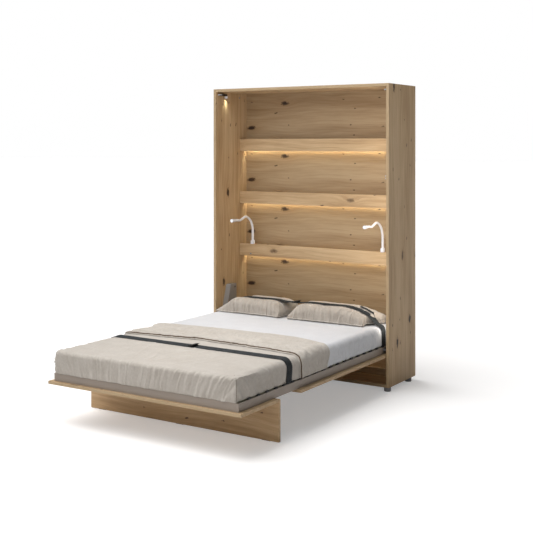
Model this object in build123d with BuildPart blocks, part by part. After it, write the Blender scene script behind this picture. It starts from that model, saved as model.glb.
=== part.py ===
from build123d import *
import os
from math import atan2, cos, degrees, hypot, sin

os.makedirs("parts", exist_ok=True)

# Murphy wall bed, drawn open. +Z is up, +Y points to the wall behind the cabinet,
# and the origin lies on the floor below the middle of the whole open bed.

# Cabinet (mm)
CABINET_WIDTH = 1516
CABINET_HEIGHT = 2180
CABINET_DEPTH = 456
BOARD = 22
FOOT_HEIGHT = 29
FOOT_RADIUS = 24.5
BEVEL = 1.2
BED_REACH = 1826

FRONT = (BED_REACH - CABINET_DEPTH) / 2
WALL_SIDE = FRONT + CABINET_DEPTH
HALF_WIDTH = CABINET_WIDTH / 2
INNER = HALF_WIDTH - BOARD
FLOOR_TOP = FOOT_HEIGHT + BOARD
CEILING = CABINET_HEIGHT - BOARD

# Back boards and shelves
BACK_FACE = FRONT + 435
BACK_BOARD = 16
FASCIA_FACE = FRONT + 338
FASCIA_BOARD = 18
FASCIA_HEIGHT = 98
FASCIA_TOP = 944
SHELF_PITCH = 423.5
SHELF_TOPS = [FASCIA_TOP + SHELF_PITCH * step for step in range(3)]
SHELF_DROP = 40
SHELF_BOARD = 18
BATTEN_FACE = FRONT + 387
PROFILE_FACE = FRONT + 405
PROFILE_WIDTH = 20
PROFILE_HEIGHT = 9

# Fold of the bed
PIVOT_Y = FRONT + 45.5
PIVOT_Z = 283.5
PIN_RADIUS = 8
RUNNING_GAP = 0.05
HEAD_OVERHANG = 222
FACADE_GAP = 3
FACADE_HALF = INNER - FACADE_GAP
FACADE_BOTTOM = 238
FACADE_BOARD = 19
FACADE_TOP = FACADE_BOTTOM + FACADE_BOARD

# Bed frame
FRAME_HALF = 701
RAIL_WIDTH = 40
RAIL_HEIGHT = 50
RAIL_TOP = FACADE_TOP + RAIL_HEIGHT
RAIL_WALL = 2
FRAME_FOOT = FRONT - 1803
FRAME_HEAD = FRONT + 200
SLAT_PITCH = 95.7
SLAT_COUNT = 20
SLAT_WIDTH = 53
SLAT_THICKNESS = 8
SLAT_BOTTOM = RAIL_TOP + 3
FIRST_SLAT = FRONT - 1691
HOLDER_TOP = RAIL_TOP + 14

# Folding leg
LEG_AXIS_Y = FRONT - 1421
LEG_AXIS_Z = 247
LEG_BOARD = 18
GLIDE = 3
LEG_PIN_RADIUS = 4
LEG_FACE = LEG_AXIS_Y - LEG_BOARD / 2
FOOT_PANEL_EDGE = LEG_FACE - 5
MAIN_PANEL_EDGE = LEG_AXIS_Y + LEG_AXIS_Z + 2

# Gas struts, in the gap between the bed frame and the cabinet's sides
LEVER = 80
STRUT_TOP_Y = PIVOT_Y + 150
STRUT_TOP_Z = PIVOT_Z + 300
STRUT_X = 719
STRUT_EYE = 5
CYLINDER_LENGTH = 205
ROD_LENGTH = 240
ROD_RADIUS = 4
COVER_FACE = 703
COVER_WALL = 2
COVER_BOTTOM = 310
COVER_TOP = 634
COVER_FRONT = FRONT + 44
COVER_LEAN = 100
COVER_REAR = FRONT + 240
COVER_SLOPE = 17.5

# Bedding
MATTRESS_HALF = 692
MATTRESS_BOTTOM = HOLDER_TOP
MATTRESS_TOP = 447
MATTRESS_FOOT = FRONT - 1810
MATTRESS_HEAD = FRONT + 188
SPREAD = 7
SHEET = 3
SPREAD_EDGE = FRONT - 700
PILLOW_BOTTOM = MATTRESS_TOP + SHEET + 1
PILLOW_TOP = 560
STRAP_WIDTH = 60
STRAP = 3
FOOT_STRAP_Y = FRONT - 1250
HEAD_STRAP_Y = FRONT + 40

# Dampers, lamps, switch
DAMPER_BOTTOM = 2130
DAMPER_TOP = 2145
DAMPER_FACE = 706
PLUNGER_TIP = FRONT + 19.5
LAMP_XS = {"left": -616, "right": 543}
LAMP_Y = FRONT + 345
LAMP_CUBE = 28
NECK_RADIUS = 9
NECK_TIP = 5
BALL_Y = FRONT + 115
BALL_Z = 1149
BALL_RADIUS = 7
SWITCH_X = -630
SWITCH_Z = 865
SWITCH_RADIUS = 6
SWITCH_TRAVEL = 1.5

SIDES = {"left": -1, "right": 1}


def save(piece, label):
    """Name the finished piece and write it to its own file."""
    piece.part.label = label
    export_step(piece.part, f"parts/{label}.step")


def block(x, y, z, mode=Mode.ADD):
    """A box between (low, high) limits along each axis."""
    centre = ((x[0] + x[1]) / 2, (y[0] + y[1]) / 2, (z[0] + z[1]) / 2)
    with Locations(centre):
        Box(x[1] - x[0], y[1] - y[0], z[1] - z[0], mode=mode)


def rod_along_x(x, y, z, radius, mode=Mode.ADD):
    """A cylinder along X between the two X limits."""
    with Locations(Location(((x[0] + x[1]) / 2, y, z), (0, 90, 0))):
        Cylinder(radius, abs(x[1] - x[0]), mode=mode)


def rod_along_y(x, y, z, radius, mode=Mode.ADD):
    """A cylinder along Y between the two Y limits."""
    with Locations(Location((x, (y[0] + y[1]) / 2, z), (90, 0, 0))):
        Cylinder(radius, abs(y[1] - y[0]), mode=mode)


def outward(side, near, far):
    """X limits on one side of the bed, from the middle outwards, low first."""
    return tuple(sorted((side * near, side * far)))


def board(label, x, y, z):
    """One board with lightly bevelled edges."""
    with BuildPart() as piece:
        block(x, y, z)
        chamfer(piece.edges(), length=BEVEL)
    save(piece, label)


# ---------------------------------------------------------------- cabinet shell

PLATE_SCREWS_Y = [PIVOT_Y + reach for reach in (40, 66, 92)]
BUSH_RADIUS = 12
BUSH_DEPTH = 10
SCREW_RADIUS = 2.5
SCREW_REACH = 14

for name, side in SIDES.items():
    with BuildPart() as side_panel:
        block(outward(side, INNER, HALF_WIDTH), (FRONT, WALL_SIDE), (FOOT_HEIGHT, CABINET_HEIGHT))
        chamfer(side_panel.edges(), length=BEVEL)
        rod_along_x(outward(side, INNER - 1, INNER + BUSH_DEPTH), PIVOT_Y, PIVOT_Z,
                    BUSH_RADIUS, Mode.SUBTRACT)
        for screw_y in PLATE_SCREWS_Y:
            rod_along_x(outward(side, INNER - 1, INNER + SCREW_REACH), screw_y, PIVOT_Z,
                        SCREW_RADIUS + RUNNING_GAP, Mode.SUBTRACT)
    save(side_panel, f"side_panel_{name}")

board("top_panel", (-INNER, INNER), (FRONT, WALL_SIDE), (CEILING, CABINET_HEIGHT))
board("bottom_panel", (-INNER, INNER), (FRONT, WALL_SIDE), (FOOT_HEIGHT, FLOOR_TOP))
board("cross_rail", (-INNER, INNER), (FRONT + 245, FRONT + 245 + BOARD), (FLOOR_TOP, 100))

# Four back boards meet behind the shelves; two pairs of wall holes pass through the top joint's
# lower board, hidden behind the upper fascia.
WALL_HOLE_RADIUS = 4.25
WALL_HOLE_SPACING = 60
WALL_HOLE_Z = SHELF_TOPS[2] - SHELF_DROP + 20
WALL_PLATE_X = 620
back_joints = [top - FASCIA_HEIGHT + 30 for top in SHELF_TOPS]
back_edges = [FLOOR_TOP] + back_joints + [CEILING]
wall_holes = [side * WALL_PLATE_X + step * WALL_HOLE_SPACING / 2
              for side in (-1, 1) for step in (-1, 1)]

with BuildPart() as back_boards:
    for low, high in zip(back_edges[:-1], back_edges[1:]):
        block((-INNER, INNER), (BACK_FACE, BACK_FACE + BACK_BOARD), (low + 0.3, high - 0.3))
    for hole_x in wall_holes:
        rod_along_y(hole_x, (BACK_FACE - 1, WALL_SIDE), WALL_HOLE_Z, WALL_HOLE_RADIUS,
                    Mode.SUBTRACT)
save(back_boards, "back_boards")

with BuildPart() as wall_plates:
    for side in (-1, 1):
        middle = side * WALL_PLATE_X
        block((middle - 50, middle + 50), (BACK_FACE - 3, BACK_FACE),
              (WALL_HOLE_Z - 17, WALL_HOLE_Z + 17))
    fillet(wall_plates.edges().filter_by(Axis.Y), radius=5)
    for hole_x in wall_holes:
        rod_along_y(hole_x, (BACK_FACE - 4, BACK_FACE + 1), WALL_HOLE_Z, WALL_HOLE_RADIUS,
                    Mode.SUBTRACT)
save(wall_plates, "wall_plates")

with BuildPart() as cabinet_feet:
    with Locations(*[(foot_x, foot_y, FOOT_HEIGHT / 2)
                     for foot_x in (-733, 733) for foot_y in (FRONT + 29, FRONT + 380)]):
        Cylinder(FOOT_RADIUS, FOOT_HEIGHT)
    fillet(cabinet_feet.faces().filter_by(Axis.Z).group_by(Axis.Z)[0].edges(), radius=2)
save(cabinet_feet, "cabinet_feet")

# ---------------------------------------------------------------- shelves and their lights

with BuildPart() as fascia_boards:
    for top in SHELF_TOPS:
        block((-INNER, INNER), (FASCIA_FACE, FASCIA_FACE + FASCIA_BOARD),
              (top - FASCIA_HEIGHT, top))
    end_edges = fascia_boards.edges().filter_by(Axis.Y)
    low_edges = [edge for edge in end_edges
                 if min(abs(edge.center().Z - top + FASCIA_HEIGHT) for top in SHELF_TOPS) < 1]
    fillet(low_edges, radius=8)
    rod_along_y(SWITCH_X, (FASCIA_FACE - 1, FASCIA_FACE + FASCIA_BOARD + 1), SWITCH_Z,
                SWITCH_RADIUS + RUNNING_GAP, Mode.SUBTRACT)
    rod_along_y(SWITCH_X, (FASCIA_FACE + 6, FASCIA_FACE + FASCIA_BOARD + 1), SWITCH_Z,
                SWITCH_RADIUS + 2.5, Mode.SUBTRACT)
save(fascia_boards, "fascia_boards")

with BuildPart() as shelf_boards:
    for top in SHELF_TOPS:
        block((-INNER, INNER), (FASCIA_FACE + FASCIA_BOARD, BACK_FACE),
              (top - SHELF_DROP - SHELF_BOARD, top - SHELF_DROP))
save(shelf_boards, "shelf_boards")

with BuildPart() as led_battens:
    for top in SHELF_TOPS:
        block((-INNER, INNER), (BATTEN_FACE, BATTEN_FACE + 16),
              (top - FASCIA_HEIGHT, top - SHELF_DROP - SHELF_BOARD))
save(led_battens, "led_battens")

with BuildPart() as led_profiles:
    for top in SHELF_TOPS:
        roof = top - SHELF_DROP - SHELF_BOARD
        block((-INNER + 4, INNER - 4), (PROFILE_FACE, PROFILE_FACE + PROFILE_WIDTH),
              (roof - PROFILE_HEIGHT, roof))
        block((-INNER + 4, INNER - 4), (PROFILE_FACE + 2, PROFILE_FACE + PROFILE_WIDTH - 2),
              (roof - PROFILE_HEIGHT, roof - 2), Mode.SUBTRACT)
save(led_profiles, "led_profiles")

with BuildPart() as led_diffusers:
    for top in SHELF_TOPS:
        sole = top - SHELF_DROP - SHELF_BOARD - PROFILE_HEIGHT
        block((-INNER + 5, INNER - 5), (PROFILE_FACE + 2.1, PROFILE_FACE + PROFILE_WIDTH - 2.1),
              (sole, sole + 2))
save(led_diffusers, "led_diffusers")

# ---------------------------------------------------------------- push switch and sensors

with BuildPart() as switch_button:
    rod_along_y(SWITCH_X, (FASCIA_FACE - 2, FASCIA_FACE + 9), SWITCH_Z, SWITCH_RADIUS)
    rod_along_y(SWITCH_X, (FASCIA_FACE + 6.1, FASCIA_FACE + 9), SWITCH_Z, SWITCH_RADIUS + 2)
    front_rim = switch_button.faces().sort_by(Axis.Y)[0].edges()
    fillet(front_rim, radius=1)
save(switch_button, "switch_button")

with BuildPart() as switch_housing:
    rod_along_y(SWITCH_X, (FASCIA_FACE + 6 + 3 + 2 * SWITCH_TRAVEL, FASCIA_FACE + FASCIA_BOARD),
                SWITCH_Z, SWITCH_RADIUS + 2.4)
    rod_along_y(SWITCH_X, (FASCIA_FACE + FASCIA_BOARD, FASCIA_FACE + FASCIA_BOARD + 8),
                SWITCH_Z, SWITCH_RADIUS + 6)
save(switch_housing, "switch_housing")

with BuildPart() as light_sensor:
    rod_along_x((-INNER, -INNER + 3), FRONT + 330, 2124, 6)
    fillet(light_sensor.faces().sort_by(Axis.X)[-1].edges(), radius=1.5)
save(light_sensor, "light_sensor")

with BuildPart() as spot_light:
    rod_along_x((-INNER, -INNER + 7), FRONT + 130, 2122, 10)
    with BuildSketch(Plane((-INNER + 13, FRONT + 130, 2112))) as spot_rim:
        Circle(8)
        Circle(6.5, mode=Mode.SUBTRACT)
    extrude(amount=20)
    with BuildSketch(Plane((-INNER + 13, FRONT + 130, 2120))) as spot_core:
        Circle(6.6)
    extrude(amount=12)
save(spot_light, "spot_light")

with BuildPart() as catch_pins:
    for pin_z in (1505, 1523):
        rod_along_x((INNER - 18, INNER), FRONT + 26, pin_z, 4)
    fillet(catch_pins.faces().filter_by(Axis.X).group_by(Axis.X)[0].edges(), radius=1.5)
save(catch_pins, "catch_pins")

# ---------------------------------------------------------------- pivots

with BuildPart() as pivot_plates:
    for side in (-1, 1):
        inner_face = Plane.YZ.offset(outward(side, INNER - 6, INNER)[0])
        with BuildSketch(inner_face) as plate_outline:
            with Locations((PIVOT_Y, PIVOT_Z)):
                Circle(24)
            with Locations((PIVOT_Y + 52, PIVOT_Z)):
                Rectangle(104, 48)
            with Locations((PIVOT_Y, PIVOT_Z)):
                Circle(BUSH_RADIUS, mode=Mode.SUBTRACT)
            with Locations(*[(screw_y, PIVOT_Z) for screw_y in PLATE_SCREWS_Y]):
                Circle(SCREW_RADIUS + RUNNING_GAP, mode=Mode.SUBTRACT)
        extrude(amount=6)
save(pivot_plates, "pivot_plates")

with BuildPart() as pivot_bushes:
    for side in (-1, 1):
        rod_along_x(outward(side, INNER - 7.5, INNER - 6), PIVOT_Y, PIVOT_Z, BUSH_RADIUS + 3)
        rod_along_x(outward(side, INNER - 6, INNER + BUSH_DEPTH), PIVOT_Y, PIVOT_Z, BUSH_RADIUS)
        rod_along_x(outward(side, INNER - 8, INNER + BUSH_DEPTH + 1), PIVOT_Y, PIVOT_Z,
                    PIN_RADIUS + RUNNING_GAP, Mode.SUBTRACT)
save(pivot_bushes, "pivot_bushes")

with BuildPart() as plate_screws:
    for side in (-1, 1):
        for screw_y in PLATE_SCREWS_Y:
            rod_along_x(outward(side, INNER - 8.5, INNER - 6), screw_y, PIVOT_Z, 5)
            rod_along_x(outward(side, INNER - 6, INNER + SCREW_REACH - 1), screw_y, PIVOT_Z,
                        SCREW_RADIUS)
save(plate_screws, "plate_screws")

with BuildPart() as pivot_arms:
    for side in (-1, 1):
        rail_face = Plane.YZ.offset(outward(side, FRAME_HALF, FRAME_HALF + 5)[0])
        with BuildSketch(rail_face) as arm_outline:
            with Locations((PIVOT_Y + LEVER / 2, PIVOT_Z)):
                SlotCenterToCenter(LEVER, 40)
            with Locations((PIVOT_Y, PIVOT_Z)):
                Circle(PIN_RADIUS, mode=Mode.SUBTRACT)
        extrude(amount=5)
        rod_along_x(outward(side, FRAME_HALF + 5, STRUT_X - STRUT_EYE - 2.5), PIVOT_Y + LEVER,
                    PIVOT_Z, 9)
save(pivot_arms, "pivot_arms")

with BuildPart() as pivot_pins:
    for side in (-1, 1):
        rod_along_x(outward(side, FRAME_HALF, INNER + BUSH_DEPTH - 1), PIVOT_Y, PIVOT_Z, PIN_RADIUS)
save(pivot_pins, "pivot_pins")

# ---------------------------------------------------------------- gas struts and covers

REST_LENGTH = hypot(STRUT_TOP_Y - PIVOT_Y - LEVER, STRUT_TOP_Z - PIVOT_Z)
STRUT_SLANT = atan2(STRUT_TOP_Y - PIVOT_Y - LEVER, STRUT_TOP_Z - PIVOT_Z)


def strut_plane(side, reach):
    """A plane square to the strut, at a distance below its top eye, facing down the strut."""
    along = (0, -sin(STRUT_SLANT), -cos(STRUT_SLANT))
    origin = (side * STRUT_X, STRUT_TOP_Y + reach * along[1], STRUT_TOP_Z + reach * along[2])
    return Plane(origin=origin, x_dir=(1, 0, 0), z_dir=along)


for name, side in SIDES.items():
    eye_limits = outward(side, STRUT_X - STRUT_EYE, STRUT_X + STRUT_EYE)

    with BuildPart() as strut_cylinder:
        with BuildSketch(strut_plane(side, 14)) as tube_outline:
            Circle(9)
        extrude(amount=CYLINDER_LENGTH - 14)
        with BuildSketch(strut_plane(side, 0)) as neck_outline:
            Circle(4.5)
        extrude(amount=20)
        rod_along_x(eye_limits, STRUT_TOP_Y, STRUT_TOP_Z, 8)
        rod_along_x(eye_limits, STRUT_TOP_Y, STRUT_TOP_Z, ROD_RADIUS + RUNNING_GAP, Mode.SUBTRACT)
        with BuildSketch(strut_plane(side, 26)) as tube_bore:
            Circle(7)
        extrude(amount=CYLINDER_LENGTH - 32, mode=Mode.SUBTRACT)
        with BuildSketch(strut_plane(side, CYLINDER_LENGTH - 7)) as rod_guide:
            Circle(ROD_RADIUS + RUNNING_GAP)
        extrude(amount=8, mode=Mode.SUBTRACT)
    save(strut_cylinder, f"strut_cylinder_{name}")

    with BuildPart() as strut_rod:
        with BuildSketch(strut_plane(side, REST_LENGTH - ROD_LENGTH)) as rod_outline:
            Circle(ROD_RADIUS)
        extrude(amount=ROD_LENGTH)
        with BuildSketch(strut_plane(side, REST_LENGTH - ROD_LENGTH)) as piston_outline:
            Circle(6.9)
        extrude(amount=10)
        rod_along_x(eye_limits, PIVOT_Y + LEVER, PIVOT_Z, 8)
        rod_along_x(eye_limits, PIVOT_Y + LEVER, PIVOT_Z, ROD_RADIUS + RUNNING_GAP, Mode.SUBTRACT)
    save(strut_rod, f"strut_rod_{name}")

    # The cover's front slopes from the panel out to its face; it is open at the panel and below.
    with BuildPart() as strut_cover:
        for inset, mode in ((0, Mode.ADD), (COVER_WALL, Mode.SUBTRACT)):
            for cover_x, front in ((INNER, COVER_FRONT),
                                   (COVER_FACE + inset, COVER_FRONT + COVER_SLOPE)):
                rear, top, bottom = COVER_REAR - inset, COVER_TOP - inset, COVER_BOTTOM - inset
                with BuildSketch(Plane.YZ.offset(side * cover_x)) as cover_outline:
                    with BuildLine() as cover_edge:
                        Polyline((front + inset, bottom), (rear, bottom), (rear, top),
                                 (front + COVER_LEAN + inset, top), close=True)
                    make_face()
                    fillet(cover_outline.vertices().group_by(Axis.Y)[-1], radius=6 - inset)
            loft(mode=mode)
        with BuildSketch(Plane.YZ.offset(outward(side, COVER_FACE, INNER)[0])) as access_slot:
            with Locations((COVER_REAR - 22, 606)):
                SlotOverall(24, 11)
        extrude(amount=INNER - COVER_FACE, mode=Mode.SUBTRACT)
    save(strut_cover, f"strut_cover_{name}")

with BuildPart() as strut_anchors:
    for side in (-1, 1):
        rod_along_x(outward(side, INNER - 3, INNER), STRUT_TOP_Y, STRUT_TOP_Z, 16)
        rod_along_x(outward(side, STRUT_X + STRUT_EYE + 1, INNER - 3), STRUT_TOP_Y, STRUT_TOP_Z, 7)
        rod_along_x(outward(side, STRUT_X - STRUT_EYE - 3, INNER - 3), STRUT_TOP_Y, STRUT_TOP_Z,
                    ROD_RADIUS)
        rod_along_x(outward(side, STRUT_X - STRUT_EYE - 3, STRUT_X - STRUT_EYE - 1), STRUT_TOP_Y,
                    STRUT_TOP_Z, 6.5)
save(strut_anchors, "strut_anchors")

# ---------------------------------------------------------------- dampers

with BuildPart() as damper_bodies:
    for side in (-1, 1):
        block(outward(side, DAMPER_FACE, INNER), (FRONT + 50, FRONT + 116),
              (DAMPER_BOTTOM, DAMPER_TOP))
    fillet(damper_bodies.edges().filter_by(Axis.Y), radius=2)
    for side in (-1, 1):
        block(outward(side, DAMPER_FACE + 4, INNER - 4), (FRONT + 49, FRONT + 112),
              (DAMPER_BOTTOM + 3, DAMPER_TOP - 3), Mode.SUBTRACT)
save(damper_bodies, "damper_bodies")

for name, side in SIDES.items():
    with BuildPart() as damper_plunger:
        block(outward(side, DAMPER_FACE + 4.3, INNER - 4.3), (PLUNGER_TIP, FRONT + 88),
              (DAMPER_BOTTOM + 3.3, DAMPER_TOP - 3.3))
        fillet(damper_plunger.faces().sort_by(Axis.Y)[0].edges(), radius=2)
    save(damper_plunger, f"damper_plunger_{name}")

# ---------------------------------------------------------------- bed frame


def hollow_rail(x, y, z, drain):
    """A closed box-section steel rail, with a drain hole through its underside."""
    block(x, y, z)
    block((x[0] + RAIL_WALL, x[1] - RAIL_WALL), (y[0] + RAIL_WALL, y[1] - RAIL_WALL),
          (z[0] + RAIL_WALL, z[1] - RAIL_WALL), Mode.SUBTRACT)
    with Locations((*drain, z[0] + RAIL_WALL / 2)):
        Cylinder(4, RAIL_WALL, mode=Mode.SUBTRACT)


RAIL_Z = (FACADE_TOP, RAIL_TOP)
RAIL_INNER = FRAME_HALF - RAIL_WIDTH
MAGNET_RAIL_Y = MAIN_PANEL_EDGE - 35

with BuildPart() as bed_side_rails:
    for side in (-1, 1):
        hollow_rail(outward(side, RAIL_INNER, FRAME_HALF), (FRAME_FOOT, FRAME_HEAD), RAIL_Z,
                    (side * (FRAME_HALF - RAIL_WIDTH / 2), LEG_AXIS_Y + LEG_AXIS_Z - 100))
save(bed_side_rails, "bed_side_rails")

with BuildPart() as bed_cross_rails:
    for rail_y in (FRAME_FOOT, FRAME_HEAD - RAIL_WIDTH):
        hollow_rail((-RAIL_INNER, RAIL_INNER), (rail_y, rail_y + RAIL_WIDTH), RAIL_Z,
                    (RAIL_INNER - 60, rail_y + RAIL_WIDTH / 2))
    for side in (-1, 1):
        hollow_rail(outward(side, 15, RAIL_INNER), (MAGNET_RAIL_Y, MAGNET_RAIL_Y + 30),
                    (FACADE_TOP, FACADE_TOP + 40), (side * (RAIL_INNER - 60), MAGNET_RAIL_Y + 15))
save(bed_cross_rails, "bed_cross_rails")

with BuildPart() as bed_centre_beam:
    hollow_rail((-15, 15), (FRAME_FOOT + RAIL_WIDTH, FRAME_HEAD - RAIL_WIDTH), RAIL_Z,
                (0, MAGNET_RAIL_Y - 60))
save(bed_centre_beam, "bed_centre_beam")

slat_ys = [FIRST_SLAT + SLAT_PITCH * step for step in range(SLAT_COUNT)]

with BuildPart() as slats:
    for slat_y in slat_ys:
        block((-676, 676), (slat_y - SLAT_WIDTH / 2, slat_y + SLAT_WIDTH / 2),
              (SLAT_BOTTOM, SLAT_BOTTOM + SLAT_THICKNESS))
save(slats, "slats")

with BuildPart() as slat_holders:
    for slat_y in slat_ys:
        for side in (-1, 1):
            block(outward(side, 658, 688), (slat_y - 21, slat_y + 21), (RAIL_TOP, HOLDER_TOP))
            block(outward(side, 688, FRAME_HALF), (slat_y - 14, slat_y + 14),
                  (RAIL_TOP, HOLDER_TOP - 5))
            block(outward(side, 658, 676.2), (slat_y - 22, slat_y + 22),
                  (SLAT_BOTTOM - 0.2, SLAT_BOTTOM + SLAT_THICKNESS + 0.2), Mode.SUBTRACT)
save(slat_holders, "slat_holders")

# ---------------------------------------------------------------- facade and folding leg

FACADE_X = (-FACADE_HALF, FACADE_HALF)
board("facade_main", FACADE_X, (MAIN_PANEL_EDGE, PIVOT_Y + HEAD_OVERHANG),
      (FACADE_BOTTOM, FACADE_TOP))
board("facade_foot", FACADE_X, (FRONT - BED_REACH, FOOT_PANEL_EDGE), (FACADE_BOTTOM, FACADE_TOP))

EAR_X = (676, 686)
EAR_GAP = 1
LEG_PIN_X = (656, 706)
MAGNET_XS = (-480, 480)
MAGNET_RADIUS = 10
MAGNET_DEPTH = 4
MAGNET_Z = 20

with BuildPart() as leg_brackets:
    for side in (-1, 1):
        block(outward(side, *EAR_X), (LEG_FACE, LEG_FACE + LEG_BOARD), (LEG_AXIS_Z, FACADE_TOP))
        rod_along_x(outward(side, *EAR_X), LEG_AXIS_Y, LEG_AXIS_Z, LEG_BOARD / 2)
        rod_along_x(outward(side, *EAR_X), LEG_AXIS_Y, LEG_AXIS_Z, LEG_PIN_RADIUS + RUNNING_GAP,
                    Mode.SUBTRACT)
save(leg_brackets, "leg_brackets")

with BuildPart() as leg_board:
    block(FACADE_X, (LEG_FACE, LEG_FACE + LEG_BOARD), (GLIDE, LEG_AXIS_Z))
    rod_along_x(FACADE_X, LEG_AXIS_Y, LEG_AXIS_Z, LEG_BOARD / 2)
    for side in (-1, 1):
        block(outward(side, EAR_X[0] - EAR_GAP, EAR_X[1] + EAR_GAP),
              (LEG_FACE - 1, LEG_FACE + LEG_BOARD + 1),
              (LEG_AXIS_Z - LEG_BOARD / 2 - 2, LEG_AXIS_Z + LEG_BOARD), Mode.SUBTRACT)
        rod_along_x(outward(side, *LEG_PIN_X), LEG_AXIS_Y, LEG_AXIS_Z, LEG_PIN_RADIUS,
                    Mode.SUBTRACT)
    for magnet_x in MAGNET_XS:
        rod_along_y(magnet_x, (LEG_FACE + LEG_BOARD - MAGNET_DEPTH, LEG_FACE + LEG_BOARD + 1),
                    MAGNET_Z, MAGNET_RADIUS, Mode.SUBTRACT)
save(leg_board, "leg_board")

with BuildPart() as leg_pins:
    for side in (-1, 1):
        rod_along_x(outward(side, *LEG_PIN_X), LEG_AXIS_Y, LEG_AXIS_Z, LEG_PIN_RADIUS)
save(leg_pins, "leg_pins")

with BuildPart() as leg_magnets:
    for magnet_x in MAGNET_XS:
        rod_along_y(magnet_x, (LEG_FACE + LEG_BOARD - MAGNET_DEPTH, LEG_FACE + LEG_BOARD),
                    MAGNET_Z, MAGNET_RADIUS)
save(leg_magnets, "leg_magnets")

with BuildPart() as leg_glides:
    for glide_x in (-640, 0, 640):
        block((glide_x - 30, glide_x + 30), (LEG_FACE + 3, LEG_FACE + LEG_BOARD - 3), (0, GLIDE))
save(leg_glides, "leg_glides")

# ---------------------------------------------------------------- bedding


def mattress_form(grow, y, mode=Mode.ADD):
    """The mattress's outer shape, grown by a cloth's thickness, between two Y limits."""
    with BuildPart(mode=Mode.PRIVATE) as form:
        block((-MATTRESS_HALF - grow, MATTRESS_HALF + grow),
              (MATTRESS_FOOT - grow, MATTRESS_HEAD + grow),
              (MATTRESS_BOTTOM, MATTRESS_TOP + grow))
        fillet(form.edges().filter_by(Axis.Z), radius=30 + grow)
        fillet(form.faces().sort_by(Axis.Z)[-1].edges(), radius=18 + grow)
        block((-MATTRESS_HALF - grow, MATTRESS_HALF + grow), y, (0, 600), Mode.INTERSECT)
    add(form.part, mode=mode)


WHOLE_LENGTH = (MATTRESS_FOOT - 20, MATTRESS_HEAD + 20)

with BuildPart() as mattress:
    mattress_form(0, WHOLE_LENGTH)
save(mattress, "mattress")

with BuildPart() as bedspread:
    mattress_form(SPREAD, (WHOLE_LENGTH[0], SPREAD_EDGE))
    mattress_form(0.5, WHOLE_LENGTH, Mode.SUBTRACT)
save(bedspread, "bedspread")

with BuildPart() as fitted_sheet:
    mattress_form(SHEET, (SPREAD_EDGE + 0.5, WHOLE_LENGTH[1]))
    mattress_form(0.5, WHOLE_LENGTH, Mode.SUBTRACT)
save(fitted_sheet, "fitted_sheet")

PILLOW_PROFILE = [(-60, PILLOW_BOTTOM), (232, PILLOW_BOTTOM), (252, 459), (218, 482), (155, 540),
                  (100, PILLOW_TOP), (20, PILLOW_TOP - 4), (-48, 524), (-84, 490), (-84, 468)]
PILLOW_FRONTS = {
    "left": [(-688, PILLOW_BOTTOM), (-52, PILLOW_BOTTOM), (-52, 490), (-110, PILLOW_TOP),
             (-572, PILLOW_TOP), (-688, 462)],
    "right": [(-44, PILLOW_BOTTOM), (660, PILLOW_BOTTOM), (660, 456), (560, 500),
              (440, PILLOW_TOP), (14, PILLOW_TOP), (-44, 490)],
}

for name, outline in PILLOW_FRONTS.items():
    with BuildPart() as pillow:
        with BuildSketch(Plane.YZ.offset(-MATTRESS_HALF)) as pillow_profile:
            with BuildLine() as pillow_edge:
                Polyline(*[(FRONT + y, z) for y, z in PILLOW_PROFILE], close=True)
            make_face()
        extrude(amount=2 * MATTRESS_HALF)
        with BuildSketch(Plane.XZ.offset(-FRONT - 300)) as pillow_front:
            with BuildLine() as front_edge:
                Polyline(*outline, close=True)
            make_face()
        extrude(amount=500, mode=Mode.INTERSECT)
    save(pillow, f"pillow_{name}")

# Flat webbing straps lie a little proud of what they hold down.
STRAP_X = MATTRESS_HALF + SPREAD + 0.7 + STRAP / 2
FOOT_STRAP_Z = MATTRESS_TOP + SPREAD + 0.7 + STRAP / 2
HEAD_STRAP_X = MATTRESS_HALF + SHEET + 1 + STRAP / 2
HEAD_STRAP_Z = PILLOW_TOP + 2 + STRAP / 2


def strap(label, middle, corners):
    """A webbing strap along a line of (x, z) corners, centred on one Y."""
    with BuildPart() as webbing:
        with BuildSketch(Plane.XZ.offset(-middle)) as strap_section:
            with BuildLine() as strap_line:
                FilletPolyline(*corners, radius=SPREAD + 18)
            trace(line_width=STRAP)
        extrude(amount=STRAP_WIDTH / 2, both=True)
    save(webbing, label)


strap("strap_foot", FOOT_STRAP_Y,
      [(-STRAP_X, MATTRESS_BOTTOM + 4), (-STRAP_X, FOOT_STRAP_Z), (STRAP_X, FOOT_STRAP_Z),
       (STRAP_X, MATTRESS_BOTTOM + 4)])
strap("strap_head", HEAD_STRAP_Y,
      [(-HEAD_STRAP_X, MATTRESS_BOTTOM + 4), (-HEAD_STRAP_X, 458), (-575, HEAD_STRAP_Z),
       (450, HEAD_STRAP_Z), (HEAD_STRAP_X, 452), (HEAD_STRAP_X, MATTRESS_BOTTOM + 4)])

# A cam buckle: a low base, and a closed lever whose free end stands a little proud.
BUCKLE_X = -25
BUCKLE_WIDTH = STRAP_WIDTH + 6
BUCKLE_PROFILE = [(-18, 0), (17, 0), (17, 3), (9, 4.5), (26, 10), (25, 13), (-10, 7.5), (-18, 4)]
with BuildPart() as strap_buckles:
    for middle_y, web_z in ((FOOT_STRAP_Y, FOOT_STRAP_Z), (HEAD_STRAP_Y, HEAD_STRAP_Z)):
        buckle_z = web_z + STRAP / 2 + 0.2
        with BuildSketch(Plane.XZ.offset(-middle_y)) as buckle_profile:
            with BuildLine() as buckle_edge:
                Polyline(*[(BUCKLE_X + x, buckle_z + z) for x, z in BUCKLE_PROFILE], close=True)
            make_face()
        extrude(amount=BUCKLE_WIDTH / 2, both=True)
    fillet(strap_buckles.edges().filter_by(Axis.Y), radius=0.7)
save(strap_buckles, "strap_buckles")

# ---------------------------------------------------------------- reading lamps

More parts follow.
